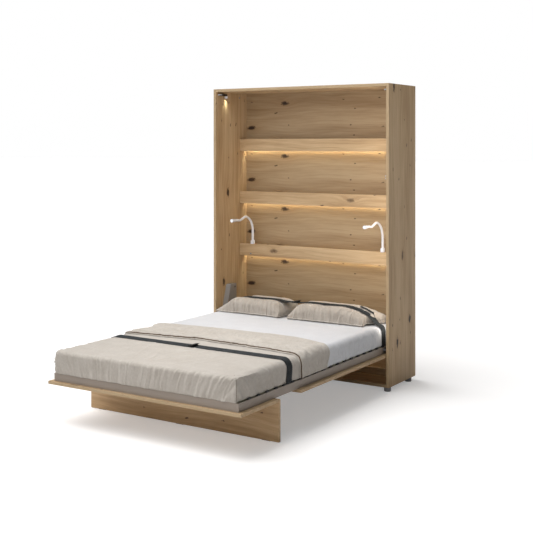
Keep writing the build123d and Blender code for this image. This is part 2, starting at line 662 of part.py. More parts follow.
CUBE_TOP = FASCIA_TOP + LAMP_CUBE
SOCKET_DEPTH = 14

with BuildPart() as lamp_bases:
    for lamp_x in LAMP_XS.values():
        block((lamp_x - LAMP_CUBE / 2, lamp_x + LAMP_CUBE / 2),
              (LAMP_Y - LAMP_CUBE / 2, LAMP_Y + LAMP_CUBE / 2), (FASCIA_TOP, CUBE_TOP))
    fillet(lamp_bases.edges().filter_by(Axis.Z), radius=5)
    fillet(lamp_bases.faces().filter_by(Axis.Z).group_by(Axis.Z)[-1].edges(), radius=3)
    for lamp_x in LAMP_XS.values():
        with Locations((lamp_x, LAMP_Y, CUBE_TOP - SOCKET_DEPTH / 2 + 0.5)):
            Cylinder(NECK_RADIUS + RUNNING_GAP, SOCKET_DEPTH + 1, mode=Mode.SUBTRACT)
save(lamp_bases, "lamp_bases")

NECK_CORNERS = [(LAMP_Y, 1073), (FRONT + 326, 1118), (FRONT + 296, 1151), (FRONT + 242, 1174),
                (FRONT + 162, 1144), (BALL_Y + 8, BALL_Z)]
NECK_RADII = [105, 105, 100, 58, 70]
HEAD_LENGTH = 72
LENS_DEPTH = 5
HEAD_PROFILE = [(0, 9.5), (14, 9.5), (42, 12.2), (HEAD_LENGTH, 13.2)]

for name, lamp_x in LAMP_XS.items():
    with BuildPart() as lamp_neck:
        with BuildLine(Plane.YZ.offset(lamp_x)) as neck_path:
            FilletPolyline((LAMP_Y, CUBE_TOP - SOCKET_DEPTH + 1), *NECK_CORNERS, radius=NECK_RADII)
        with BuildSketch(Plane((lamp_x, LAMP_Y, CUBE_TOP - SOCKET_DEPTH + 1))) as neck_section:
            Circle(NECK_RADIUS)
        sweep()
        with Locations((lamp_x, LAMP_Y, CUBE_TOP + 3.3)):
            Cylinder(NECK_RADIUS + 2.5, 6)
        rod_along_y(lamp_x, (BALL_Y, BALL_Y + 12), BALL_Z, NECK_TIP)
        with Locations((lamp_x, BALL_Y, BALL_Z)):
            Sphere(BALL_RADIUS)
    save(lamp_neck, f"lamp_neck_{name}")

    head_plane = Plane(origin=(lamp_x, BALL_Y, BALL_Z), x_dir=(0, -1, 0), z_dir=(1, 0, 0))
    with BuildPart() as lamp_head:
        with BuildSketch(head_plane) as head_section:
            with BuildLine() as head_outline:
                Polyline((0, 0), *HEAD_PROFILE, (HEAD_LENGTH, 0), close=True)
            make_face()
        revolve(axis=Axis((lamp_x, BALL_Y, BALL_Z), (0, -1, 0)))
        with Locations((lamp_x, BALL_Y, BALL_Z)):
            Sphere(BALL_RADIUS + 0.3, mode=Mode.SUBTRACT)
        rod_along_y(lamp_x, (BALL_Y - HEAD_LENGTH - 1, BALL_Y - HEAD_LENGTH + LENS_DEPTH), BALL_Z,
                    11, Mode.SUBTRACT)
    save(lamp_head, f"lamp_head_{name}")

    with BuildPart() as lamp_lens:
        rod_along_y(lamp_x, (BALL_Y - HEAD_LENGTH + LENS_DEPTH - 3,
                             BALL_Y - HEAD_LENGTH + LENS_DEPTH), BALL_Z, 11)
    save(lamp_lens, f"lamp_lens_{name}")

# The travel of each strut while the bed folds up by a quarter turn.
closed_length = hypot(STRUT_TOP_Y - PIVOT_Y, STRUT_TOP_Z - PIVOT_Z + LEVER)
closed_slant = atan2(STRUT_TOP_Y - PIVOT_Y, STRUT_TOP_Z - PIVOT_Z + LEVER)
print("strut stroke", round(closed_length - REST_LENGTH, 3), "mm")
print("strut swing", round(degrees(closed_slant - STRUT_SLANT), 4), "degrees")
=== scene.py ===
import math

import bpy
import numpy as np
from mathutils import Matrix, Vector
from mathutils.bvhtree import BVHTree


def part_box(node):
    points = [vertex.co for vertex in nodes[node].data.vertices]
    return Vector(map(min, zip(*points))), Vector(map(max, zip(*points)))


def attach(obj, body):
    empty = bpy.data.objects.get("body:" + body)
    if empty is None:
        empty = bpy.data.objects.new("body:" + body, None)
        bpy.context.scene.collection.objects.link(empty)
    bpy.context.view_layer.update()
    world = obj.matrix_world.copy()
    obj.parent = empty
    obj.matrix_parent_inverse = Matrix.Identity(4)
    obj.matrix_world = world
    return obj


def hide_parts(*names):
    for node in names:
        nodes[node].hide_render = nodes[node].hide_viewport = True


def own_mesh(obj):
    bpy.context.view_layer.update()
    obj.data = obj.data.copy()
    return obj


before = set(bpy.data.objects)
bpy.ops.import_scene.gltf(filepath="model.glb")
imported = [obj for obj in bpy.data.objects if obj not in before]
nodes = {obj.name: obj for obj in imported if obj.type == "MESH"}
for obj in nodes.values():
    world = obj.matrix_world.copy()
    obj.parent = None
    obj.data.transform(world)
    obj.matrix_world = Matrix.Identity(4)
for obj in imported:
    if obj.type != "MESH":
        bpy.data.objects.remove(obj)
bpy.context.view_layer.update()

# ---------------------------------------------------------------- places, all read from the frame

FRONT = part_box("side_panel_left")[0].y
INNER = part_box("top_panel")[1].x
fascia_low, fascia_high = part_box("fascia_boards")
diffuser_low, diffuser_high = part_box("led_diffusers")
mattress_low, mattress_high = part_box("mattress")
spread_low, spread_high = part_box("bedspread")
rails_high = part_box("bed_side_rails")[1]
SHELF_PITCH = ((fascia_high.z - fascia_low.z) - 0.098) / 2


def smooth(value, low, high):
    """0 below low, 1 above high, and an S curve between; works on arrays too."""
    share = np.clip((value - low) / (high - low), 0.0, 1.0)
    return share * share * (3 - 2 * share)


# ---------------------------------------------------------------- shader helpers


def srgb(red, green, blue):
    """A colour given as 0-255 display values, as the linear colour that shaders take."""
    linear = [c / 12.92 if c <= 0.04045 else ((c + 0.055) / 1.055) ** 2.4
              for c in (red / 255, green / 255, blue / 255)]
    return (*linear, 1.0)


def new_material(name):
    material = bpy.data.materials.new(name)
    material.use_nodes = True
    return material, material.node_tree, material.node_tree.nodes["Principled BSDF"]


def add(tree, kind, inputs=None, **settings):
    """A shader node with its settings made and its inputs set or linked."""
    node = tree.nodes.new("ShaderNode" + kind)
    for key, value in settings.items():
        setattr(node, key, value)
    for key, value in (inputs or {}).items():
        if isinstance(value, bpy.types.NodeSocket):
            tree.links.new(value, node.inputs[key])
        else:
            node.inputs[key].default_value = value
    return node


def maths(tree, operation, first, second=0.0, third=0.0, clamp=False):
    node = add(tree, "Math", {0: first, 1: second, 2: third}, operation=operation)
    node.use_clamp = clamp
    return node.outputs[0]


def ramp(tree, value, stops):
    """A colour ramp through (position, colour) stops."""
    node = add(tree, "ValToRGB", {0: value})
    elements = node.color_ramp.elements
    while len(elements) < len(stops):
        elements.new(0.5)
    for element, (position, colour) in zip(elements, stops):
        element.position = position
        element.color = colour
    return node.outputs[0]


def mixed(tree, share, first, second, blend="MIX"):
    node = add(tree, "Mix", data_type="RGBA", blend_type=blend)
    for socket, value in ((node.inputs[0], share), (node.inputs[6], first), (node.inputs[7], second)):
        if isinstance(value, bpy.types.NodeSocket):
            tree.links.new(value, socket)
        else:
            socket.default_value = value
    return node.outputs[2]


def noise_at(tree, vector, scale, detail=3.0, roughness=0.5, distortion=0.0):
    node = add(tree, "TexNoise", {"Vector": vector, "Scale": scale, "Detail": detail,
                                  "Roughness": roughness, "Distortion": distortion})
    return node.outputs[0]


def bump(tree, bsdf, height, strength, distance):
    node = add(tree, "Bump", {"Height": height, "Strength": strength, "Distance": distance})
    tree.links.new(node.outputs[0], bsdf.inputs["Normal"])


# ---------------------------------------------------------------- materials

WHITE = (1.0, 1.0, 1.0, 1.0)


def oak(name, along, across, offset=0.0, repeat=None, edge=None, tone_and_painted_light=1.0):
    """Knotty oak decor. along and across name the axes of the grain; edge is (axis, limit, sign)
    for a lighter edge band on the far side of a limit; repeat tiles the pattern across the grain."""
    material, tree, bsdf = new_material(name)
    coords = add(tree, "TexCoord").outputs["Object"]
    xyz = add(tree, "SeparateXYZ", {0: coords})
    axes = {"X": xyz.outputs[0], "Y": xyz.outputs[1], "Z": xyz.outputs[2]}
    third = ({"X", "Y", "Z"} - {along, across}).pop()
    length = maths(tree, "ADD", axes[along], 3.7 + offset)
    width = maths(tree, "ADD", axes[across], 1.3 + 0.37 * offset)
    if repeat:
        start, pitch = repeat
        width = maths(tree, "MODULO", maths(tree, "SUBTRACT", axes[across], start), pitch)
    flat = add(tree, "CombineXYZ", {0: length, 1: width, 2: 0.0}).outputs[0]

    # Knots: a few cells of a Voronoi pattern, stretched along the grain and roughened.
    wobble = noise_at(tree, flat, 38.0, 3.0, 0.6)
    knot_x = maths(tree, "MULTIPLY_ADD", wobble, 0.030, maths(tree, "MULTIPLY", length, 0.42))
    knot_y = maths(tree, "MULTIPLY_ADD", wobble, 0.018, width)
    knot_at = add(tree, "CombineXYZ", {0: knot_x, 1: knot_y, 2: 0.0}).outputs[0]
    big = add(tree, "TexVoronoi", {"Vector": knot_at, "Scale": 4.6, "Randomness": 1.0},
              voronoi_dimensions="2D")
    chosen = add(tree, "SeparateColor", {0: big.outputs["Color"]})
    core = maths(tree, "SUBTRACT", 1.0, maths(tree, "DIVIDE", big.outputs["Distance"], 0.085),
                 clamp=True)
    keep = maths(tree, "GREATER_THAN", chosen.outputs[0], 0.40)
    size = maths(tree, "MULTIPLY_ADD", chosen.outputs[1], 0.9, 0.25)
    knot = maths(tree, "MULTIPLY", maths(tree, "MULTIPLY", core, keep), size)
    halo = maths(tree, "SUBTRACT", 1.0, maths(tree, "DIVIDE", big.outputs["Distance"], 0.30),
                 clamp=True)
    halo = maths(tree, "MULTIPLY", maths(tree, "MULTIPLY", halo, halo), keep)
    small = add(tree, "TexVoronoi", {"Vector": knot_at, "Scale": 9.5, "Randomness": 1.0},
                voronoi_dimensions="2D")
    picked = add(tree, "SeparateColor", {0: small.outputs["Color"]})
    speck = maths(tree, "SUBTRACT", 1.0, maths(tree, "DIVIDE", small.outputs["Distance"], 0.055),
                  clamp=True)
    speck = maths(tree, "MULTIPLY", speck, maths(tree, "GREATER_THAN", picked.outputs[1], 0.55))

    # Grain: streaks at three widths, bent round the knots and gently wavy.
    sway = noise_at(tree, add(tree, "CombineXYZ", {0: maths(tree, "MULTIPLY", length, 0.9), 1: width,
                                                   2: axes[third]}).outputs[0], 2.3, 1.0)
    bent = maths(tree, "MULTIPLY_ADD", sway, 0.06, maths(tree, "MULTIPLY_ADD", halo, 0.045, width))

    def streaks(stretch, scale, detail, roughness):
        vector = add(tree, "CombineXYZ", {0: maths(tree, "MULTIPLY", length, stretch), 1: bent,
                                          2: axes[third]}).outputs[0]
        return noise_at(tree, vector, scale, detail, roughness)

    broad = streaks(0.11, 7.0, 3.0, 0.55)
    medium = streaks(0.045, 46.0, 4.0, 0.62)
    fine = streaks(0.018, 330.0, 2.0, 0.55)
    tone = maths(tree, "MULTIPLY_ADD", broad, 0.34, maths(tree, "MULTIPLY", medium, 0.38))
    tone = maths(tree, "MULTIPLY_ADD", fine, 0.22, maths(tree, "ADD", tone, 0.05))
    # The scale factor on the ramp's colours makes the slats a paler wood; on the fascias and the leg it
    # paints light, and on the back boards it paints shade.
    colour = ramp(tree, tone, [
        (0.30, srgb(142 * tone_and_painted_light, 112 * tone_and_painted_light, 78 * tone_and_painted_light)),
        (0.46, srgb(176 * tone_and_painted_light, 146 * tone_and_painted_light, 109 * tone_and_painted_light)),
        (0.56, srgb(194 * tone_and_painted_light, 166 * tone_and_painted_light, 129 * tone_and_painted_light)),
        (0.74, srgb(212 * tone_and_painted_light, 187 * tone_and_painted_light, 151 * tone_and_painted_light)),
    ])
    pores = maths(tree, "GREATER_THAN", fine, 0.66)
    colour = mixed(tree, maths(tree, "MULTIPLY", pores, 0.22), colour, srgb(120, 84, 52))
    colour = mixed(tree, maths(tree, "MULTIPLY", halo, 0.42), colour, srgb(158, 120, 80))
    mark = maths(tree, "ADD", maths(tree, "MULTIPLY", knot, 2.1), maths(tree, "MULTIPLY", speck, 1.3),
                 clamp=True)
    colour = mixed(tree, maths(tree, "POWER", mark, 0.7), colour, srgb(52, 36, 25))
    if edge:
        axis, limit, sign = edge
        beyond = maths(tree, "GREATER_THAN", maths(tree, "MULTIPLY", axes[axis], sign), sign * limit)
        band = ramp(tree, fine, [(0.3, srgb(172, 146, 111)), (0.7, srgb(192, 168, 134))])
        colour = mixed(tree, beyond, colour, band)
    tree.links.new(colour, bsdf.inputs["Base Color"])
    gloss = maths(tree, "MULTIPLY_ADD", medium, 0.18, 0.44)
    tree.links.new(gloss, bsdf.inputs["Roughness"])
    relief = maths(tree, "MULTIPLY_ADD", fine, 0.5, maths(tree, "MULTIPLY", mark, -0.6))
    bump(tree, bsdf, relief, 0.28, 0.0006)
    bsdf.inputs["Specular IOR Level"].default_value = 0.4
    return material


def fabric(name, dark, light, thread=0.0011, roughness=0.9, sheen=0.25, mottle=0.5):
    """A plain-woven cloth: crossed threads in relief, uneven dye and a soft sheen."""
    material, tree, bsdf = new_material(name)
    coords = add(tree, "TexCoord").outputs["Object"]
    scale = 1.0 / thread
    weave = []
    for direction in ("X", "Y", "Z"):
        wave = add(tree, "TexWave", {"Vector": coords, "Scale": scale / 20.0, "Distortion": 1.6,
                                     "Detail": 2.0, "Detail Scale": 3.0},
                   wave_type="BANDS", bands_direction=direction)
        weave.append(wave.outputs["Fac"])
    threads = maths(tree, "MAXIMUM", weave[0], maths(tree, "MAXIMUM", weave[1], weave[2]))
    stretched = add(tree, "Mapping", {"Vector": coords, "Scale": (130.0, 40.0, 60.0)}).outputs[0]
    slub = noise_at(tree, stretched, 1.0, 3.0, 0.6)
    patches = noise_at(tree, coords, 9.0, 4.0, 0.6)
    tone = maths(tree, "MULTIPLY_ADD", patches, mottle, maths(tree, "MULTIPLY", slub, 1 - mottle))
    colour = ramp(tree, tone, [(0.32, dark), (0.68, light)])
    tree.links.new(colour, bsdf.inputs["Base Color"])
    bsdf.inputs["Roughness"].default_value = roughness
    bsdf.inputs["Specular IOR Level"].default_value = 0.2
    bsdf.inputs["Sheen Weight"].default_value = sheen
    bsdf.inputs["Sheen Roughness"].default_value = 0.5
    relief = maths(tree, "MULTIPLY_ADD", threads, 0.7, maths(tree, "MULTIPLY", slub, 0.5))
    bump(tree, bsdf, relief, 0.35, 0.0005)
    return material


def webbing_cloth(name, dark, light):
    """Ribbed nylon webbing with a fine diagonal rib across its width."""
    material, tree, bsdf = new_material(name)
    coords = add(tree, "TexCoord").outputs["Object"]
    ribs = add(tree, "TexWave", {"Vector": coords, "Scale": 55.0, "Distortion": 0.6, "Detail": 1.0},
               wave_type="BANDS", bands_direction="DIAGONAL").outputs["Fac"]
    wear = noise_at(tree, coords, 30.0, 3.0)
    tone = maths(tree, "MULTIPLY_ADD", ribs, 0.55, maths(tree, "MULTIPLY", wear, 0.45))
    tree.links.new(ramp(tree, tone, [(0.25, dark), (0.8, light)]), bsdf.inputs["Base Color"])
    bsdf.inputs["Roughness"].default_value = 0.8
    bsdf.inputs["Specular IOR Level"].default_value = 0.15
    bump(tree, bsdf, ribs, 0.4, 0.0006)
    return material


def plastic(name, colour, roughness=0.45, grain=0.15, speck_scale=900.0):
    """Moulded plastic with a fine spark-eroded grain and faint handling marks."""
    material, tree, bsdf = new_material(name)
    coords = add(tree, "TexCoord").outputs["Object"]
    pits = noise_at(tree, coords, speck_scale, 2.0)
    marks = noise_at(tree, coords, 22.0, 4.0, 0.6)
    shade = mixed(tree, maths(tree, "MULTIPLY", marks, 0.16), colour,
                  tuple(min(1.0, c * 1.5 + 0.01) for c in colour[:3]) + (1.0,))
    tree.links.new(shade, bsdf.inputs["Base Color"])
    tree.links.new(maths(tree, "MULTIPLY_ADD", marks, 0.16, roughness - 0.08),
                   bsdf.inputs["Roughness"])
    bump(tree, bsdf, pits, grain, 0.0002)
    return material


def metal(name, colour, roughness=0.3, brushed=0.0, metallic=1.0):
    """Metal, plated or coated, with fine brushing or orange peel."""
    material, tree, bsdf = new_material(name)
    coords = add(tree, "TexCoord").outputs["Object"]
    stretched = add(tree, "Mapping", {"Vector": coords, "Scale": (30.0, 30.0, 900.0)}).outputs[0]
    lines = noise_at(tree, stretched, 1.0, 2.0)
    peel = noise_at(tree, coords, 420.0, 2.0)
    wear = noise_at(tree, coords, 14.0, 4.0, 0.6)
    shade = mixed(tree, maths(tree, "MULTIPLY", wear, 0.22), colour,
                  tuple(c * 0.72 for c in colour[:3]) + (1.0,))
    tree.links.new(shade, bsdf.inputs["Base Color"])
    bsdf.inputs["Metallic"].default_value = metallic
    tree.links.new(maths(tree, "MULTIPLY_ADD", lines if brushed else wear, 0.2, roughness - 0.08),
                   bsdf.inputs["Roughness"])
    bump(tree, bsdf, lines if brushed else peel, 0.12, 0.0002)
    return material


def glowing(name, colour, strength):
    """An opal light strip: brighter where the light dots sit behind it."""
    material, tree, bsdf = new_material(name)
    coords = add(tree, "TexCoord").outputs["Object"]
    dots = add(tree, "TexWave", {"Vector": coords, "Scale": 19.0}, wave_type="BANDS",
               bands_direction="X").outputs["Fac"]
    tree.links.new(mixed(tree, dots, tuple(c * 0.8 for c in colour[:3]) + (1.0,), colour),
                   bsdf.inputs["Emission Color"])
    bsdf.inputs["Emission Strength"].default_value = strength
    bsdf.inputs["Base Color"].default_value = colour
    bsdf.inputs["Roughness"].default_value = 0.4
    return material


def paint(names, material):
    """Gives CAD nodes one material."""
    for name in names:
        nodes[name].data.materials.clear()
        nodes[name].data.materials.append(material)


# ---------------------------------------------------------------- CAD nodes

EDGE = 0.0015
BACK_START = fascia_low.z + 0.030

for number, name in enumerate(("side_panel_left", "side_panel_right")):
    paint([name], oak(f"oak_{name}", "Z", "Y", 2.9 * number, edge=("Y", FRONT + EDGE, -1)))
for number, name in enumerate(("top_panel", "bottom_panel", "cross_rail", "shelf_boards",
                               "led_battens")):
    paint([name], oak(f"oak_{name}", "X", "Y", 1.7 * number, edge=("Y", FRONT + EDGE, -1)))
# The fascias are made lighter than the other boards: painted light, as if more light reached them.
paint(["fascia_boards"], oak("oak_fascias", "X", "Z", 0.6, tone_and_painted_light=1.06))
BACK_BOARDS = (BACK_START - 4 * SHELF_PITCH, SHELF_PITCH)
# The back boards are made darker than the other boards: painted shade of the recesses behind the fascias.
paint(["back_boards"], oak("oak_back", "X", "Z", 0.0, tone_and_painted_light=0.90, repeat=BACK_BOARDS))
paint(["facade_main"], oak("oak_facade_main", "X", "Y", 5.2,
                           edge=("Z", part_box("facade_main")[1].z - EDGE, 1)))
paint(["facade_foot"], oak("oak_facade_foot", "X", "Y", 7.4,
                           edge=("Y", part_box("facade_foot")[0].y + EDGE, -1)))
# The leg board is made lighter: painted light on a board that stands in the bed's shade.
paint(["leg_board"], oak("oak_leg", "X", "Z", 9.3, tone_and_painted_light=1.07))

paint(["bed_side_rails", "bed_cross_rails", "bed_centre_beam", "leg_brackets"],
      metal("taupe_coat", srgb(158, 146, 135), 0.5, metallic=0.0))
paint(["slats"], oak("beech_slats", "X", "Y", 3.0, tone_and_painted_light=1.08))
paint(["slat_holders", "damper_bodies", "strap_buckles", "switch_housing"],
      plastic("black_plastic", srgb(14, 14, 15), 0.55))
paint(["cabinet_feet"], plastic("foot_grey", srgb(128, 128, 130), 0.5))
paint(["strut_cover_left", "strut_cover_right"], plastic("cover_grey", srgb(140, 135, 131), 0.5))
paint(["damper_plunger_left", "damper_plunger_right"], plastic("plunger_grey", srgb(188, 188, 190)))
paint(["pivot_plates", "pivot_arms", "pivot_pins", "plate_screws", "strut_anchors", "wall_plates",
       "leg_pins", "catch_pins"], metal("zinc_steel", srgb(178, 180, 184), 0.34, brushed=1.0))
paint(["pivot_bushes"], metal("sintered_brass", srgb(196, 162, 96), 0.42))
paint(["leg_magnets"], metal("nickel", srgb(200, 200, 202), 0.22))
paint(["strut_cylinder_left", "strut_cylinder_right"],
      metal("strut_lacquer", srgb(34, 34, 37), 0.32, metallic=0.0))
paint(["strut_rod_left", "strut_rod_right"], metal("polished_rod", srgb(214, 214, 216), 0.12))
paint(["leg_glides"], plastic("glide_brown", srgb(72, 62, 52), 0.6))
paint(["led_profiles"], metal("anodised", srgb(206, 206, 208), 0.35, brushed=1.0))
paint(["led_diffusers"], glowing("light_strip", srgb(255, 222, 164), 6.0))
paint(["light_sensor", "switch_button"], plastic("sensor_blue", srgb(120, 138, 148), 0.25))
paint(["lamp_bases", "lamp_neck_left", "lamp_neck_right", "lamp_head_left", "lamp_head_right",
       "spot_light"], plastic("lamp_white", srgb(232, 232, 238), 0.28, 0.08))
paint(["lamp_lens_left", "lamp_lens_right"], glowing("lamp_lens", srgb(244, 246, 250), 0.25))

# ---------------------------------------------------------------- floor, lights and camera

ground = bpy.data.meshes.new("ground")
ground.from_pydata([(-90, -90, 0), (90, -90, 0), (90, 90, 0), (-90, 90, 0)], [], [(0, 1, 2, 3)])
floor = bpy.data.objects.new("studio_floor", ground)
bpy.context.scene.collection.objects.link(floor)
floor_material, floor_tree, floor_bsdf = new_material("studio_paper")
floor_bsdf.inputs["Base Color"].default_value = (0.80, 0.79, 0.785, 1.0)
floor_bsdf.inputs["Emission Color"].default_value = WHITE
floor_seen = floor_tree.nodes.new("ShaderNodeLightPath").outputs["Is Camera Ray"]
floor_tree.links.new(maths(floor_tree, "MULTIPLY", floor_seen, 0.32), floor_bsdf.inputs["Emission Strength"])
floor_bsdf.inputs["Roughness"].default_value = 0.85
floor_bsdf.inputs["Specular IOR Level"].default_value = 0.1
ground.materials.append(floor_material)


def area_light(name, place, target, size, power, colour=(1, 1, 1), size_y=None):
    data = bpy.data.lights.new(name, "AREA")
    data.energy = power
    data.color = colour
    data.size = size
    if size_y:
        data.shape = "RECTANGLE"
        data.size_y = size_y
    light = bpy.data.objects.new(name, data)
    bpy.context.scene.collection.objects.link(light)
    light.location = place
    light.rotation_euler = (Vector(target) - Vector(place)).to_track_quat("-Z", "Y").to_euler()
    return light


def sun(name, direction, strength, angle):
    data = bpy.data.lights.new(name, "SUN")
    data.energy = strength
    data.angle = math.radians(angle)
    light = bpy.data.objects.new(name, data)
    bpy.context.scene.collection.objects.link(light)
    light.rotation_euler = Vector(direction).to_track_quat("-Z", "Y").to_euler()


# A very soft overhead key from the left, and a weaker one from the front that reaches into the
# cabinet. The pale floor sends their light back up, and the world fills the rest.
sun("key", (0.50, 0.06, -0.84), 3.0, 60)
sun("front", (0.12, 1.0, -0.42), 0.66, 60)
front = area_light("front_top", (0.5, FRONT - 1.9, 2.9), (-0.1, FRONT + 0.3, 1.3), 1.4, 15)
front.visible_camera = False
over_bed = area_light("over_bed", (-0.1, FRONT - 1.55, 1.65), (-0.1, FRONT - 1.50, 0.0), 1.2, 5.0)
over_bed.visible_camera = False

WARM = (0.96, 1.0, 0.80)
strip_y = (diffuser_low.y + diffuser_high.y) / 2
for step in range(3):
    strip_z = diffuser_low.z + SHELF_PITCH * step - 0.002
    area_light(f"strip_{step}", (0.0, strip_y, strip_z), (0.0, strip_y, 0.0),
               2 * INNER - 0.02, 1.15, WARM, diffuser_high.y - diffuser_low.y)

spot_low, spot_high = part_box("spot_light")
spot_data = bpy.data.lights.new("wall_spot", "SPOT")
spot_data.energy = 0.9
spot_data.color = WARM
spot_data.spot_size = math.radians(75)
spot_data.spot_blend = 0.9
spot_data.shadow_soft_size = 0.006
spot = bpy.data.objects.new("wall_spot", spot_data)
bpy.context.scene.collection.objects.link(spot)
spot.location = (spot_high.x - 0.008, (spot_low.y + spot_high.y) / 2, spot_low.z - 0.003)
spot.rotation_euler = (0.0, math.radians(10), 0.0)

# A weak light that no camera sees. It stands at the right side panel and lights the left one.
inner = area_light("inner_fill", (INNER - 0.03, FRONT + 0.10, 1.25), (-INNER, FRONT + 0.16, 1.20),
                   0.25, 2.8, (1.0, 0.95, 0.88), 1.7)
inner.visible_camera = False

# The world shows white behind the object, and lights it less than that.
FILL = 0.12
world = bpy.data.worlds.new("studio")
bpy.context.scene.world = world
world.use_nodes = True
seen = world.node_tree.nodes.new("ShaderNodeLightPath").outputs["Is Camera Ray"]
level = world.node_tree.nodes.new("ShaderNodeMath")
level.operation = "MULTIPLY_ADD"
world.node_tree.links.new(seen, level.inputs[0])
level.inputs[1].default_value = 1.0 - FILL
level.inputs[2].default_value = FILL
background = world.node_tree.nodes["Background"]
background.inputs[0].default_value = WHITE
world.node_tree.links.new(level.outputs[0], background.inputs[1])
bpy.context.scene.view_settings.view_transform = "Standard"

camera_data = bpy.data.cameras.new("camera")
camera_data.lens = 67.16
camera_data.shift_y = -0.2286
camera = bpy.data.objects.new("camera", camera_data)
bpy.context.scene.collection.objects.link(camera)
camera.location = (3.796, FRONT - 6.371, 1.745)
camera.rotation_euler = (math.pi / 2, 0.0, math.radians(32.51))
bpy.context.scene.camera = camera

# ---------------------------------------------------------------- mesh helpers

SHUFFLE = np.random.default_rng(11).permutation(1024)
LEVELS = np.random.default_rng(12).uniform(-1, 1, 1024)


def noise_field(places, seed=0):
    """Smooth random values from -1 to 1, about one bump for each unit of places."""
    cell = np.floor(places).astype(int)
    share = places - cell
    share = share ** 3 * (share * (6 * share - 15) + 10)
    total = np.zeros(len(places))
    for corner in np.ndindex(2, 2, 2):
        at = (cell + corner) % 1024
        index = SHUFFLE[(at[:, 0] + seed) % 1024]
        index = SHUFFLE[(index + at[:, 1]) % 1024]
        index = SHUFFLE[(index + at[:, 2]) % 1024]
        weight = np.prod(np.where(np.array(corner) == 1, share, 1 - share), axis=1)
        total += weight * LEVELS[index]
    return total


def creases(across, along, spacing, length, seed=0, sharp=2.5):
    """Ridges from 0 to 1, about spacing apart across them and length long."""
    places = np.stack([across / spacing, along / length, np.full(len(across), 0.37 * seed)], axis=1)
    first = 1 - np.abs(noise_field(places, seed))
    second = 1 - np.abs(noise_field(places * (2.1, 1.6, 1.0) + 5.3, seed + 9))
    return 0.68 * first ** sharp + 0.32 * second ** sharp


def mesh_piece(name, points, faces, material):
    mesh = bpy.data.meshes.new(name)
    mesh.from_pydata([tuple(point) for point in points], [], faces)
    mesh.shade_smooth()
    mesh.materials.append(material)
    piece = bpy.data.objects.new(name, mesh)
    bpy.context.scene.collection.objects.link(piece)
    return piece


def coordinates(mesh):
    values = np.empty(3 * len(mesh.vertices))
    mesh.vertices.foreach_get("co", values)
    return values.reshape(-1, 3)


def set_coordinates(mesh, points):
    mesh.vertices.foreach_set("co", np.asarray(points, float).ravel())
    mesh.update()


def face_normals_at(points, faces):
    """The outward normal at each point of a quad mesh."""
    quads = np.array(faces)
    corners = points[quads]
    across = np.cross(corners[:, 2] - corners[:, 0], corners[:, 3] - corners[:, 1])
    total = np.zeros_like(points)
    for column in range(4):
        np.add.at(total, quads[:, column], across)
    return total / np.linalg.norm(total, axis=1)[:, None]


def round_edge(points, first, first_core, second, second_core):
    """Rounds one edge: beyond both cores, a square's outline becomes a quarter circle."""
    reach = np.stack([first_core(points[:, first]), second_core(points[:, second])], 1)
    beyond = np.maximum(np.abs(reach), 1e-9)
    both = (np.abs(reach) > 1e-9).all(axis=1)
    scale = np.where(both, beyond.max(axis=1) / np.hypot(*beyond.T), 1.0)
    points[:, first] -= reach[:, 0] * (1 - scale)
    points[:, second] -= reach[:, 1] * (1 - scale)


def edge_softness(x, y):
    """How much of the full rounding a long top edge has: less near the foot and on the left."""
    return np.where(x > 0, 0.25 + 0.75 * smooth(y, FOOT_Y, FOOT_Y + 0.30),
                    0.25 + 0.30 * smooth(y, FOOT_Y, FOOT_Y + 0.30))


def box_shell(low, high, radii, step, sides):
    """The top and the named sides of a box, as points, outward normals and quads. radii are those
    of the top's long edges, of its two ends and of the upright corners."""
    low, high = np.array(low), np.array(high)
    count = np.maximum(2, np.round((high - low) / step).astype(int))
    places, faces = {}, []

    def corner(i, j, k):
        return places.setdefault((i, j, k), len(places))

    for i in range(count[0]):
        for j in range(count[1]):
            faces.append((corner(i, j, 0), corner(i + 1, j, 0), corner(i + 1, j + 1, 0),
                          corner(i, j + 1, 0)))
    for k in range(count[2]):
        for side, i in (("left", 0), ("right", count[0])):
            for j in range(count[1]) if side in sides else ():
                quad = [corner(i, j, k), corner(i, j + 1, k), corner(i, j + 1, k + 1),
                        corner(i, j, k + 1)]
                faces.append(tuple(reversed(quad) if side == "right" else quad))
        for side, j in (("foot", 0), ("head", count[1])):
            for i in range(count[0]) if side in sides else ():
                quad = [corner(i, j, k), corner(i + 1, j, k), corner(i + 1, j, k + 1),
                        corner(i, j, k + 1)]
                faces.append(tuple(reversed(quad) if side == "foot" else quad))
    lattice = np.array(list(places), float)
    points = low + (high - low) * lattice / count
    points[:, 2] = high[2] - (high[2] - low[2]) * lattice[:, 2] / count[2]
    along_side, along_end, upright = radii

    def past(radius, axis, lower=True, upper=True):
        """How far a coordinate lies beyond the core that a radius leaves."""
        core_low = low[axis] + radius if lower else low[axis]
        core_high = high[axis] - radius if upper else high[axis]
        return lambda value: value - np.clip(value, core_low, core_high)

    at_foot, at_head = "foot" in sides, "head" in sides
    round_edge(points, 0, past(upright, 0), 1, past(upright, 1, at_foot, at_head))
    square = points.copy()
    round_edge(points, 0, past(along_side, 0), 2, past(along_side, 2, False))
    soft = edge_softness(points[:, 0], points[:, 1])[:, None]
    points = square + (points - square) * soft
    round_edge(points, 1, past(along_end, 1, at_foot, at_head), 2, past(along_end, 2, False))
    return points, face_normals_at(points, faces), faces


def thicken(piece, thickness, offset=-1.0):
    """Gives a sheet its thickness, inwards, and two turned rims."""
    solid = piece.modifiers.new("thickness", "SOLIDIFY")
    solid.thickness = thickness
    solid.offset = offset
    solid.use_rim = True
    settle(piece)


def settle(piece):
    """Applies what modifiers a piece has to its mesh."""
    shape = piece.evaluated_get(bpy.context.evaluated_depsgraph_get())
    piece.data = bpy.data.meshes.new_from_object(shape)
    piece.modifiers.clear()
    piece.data.shade_smooth()


# ---------------------------------------------------------------- bedding

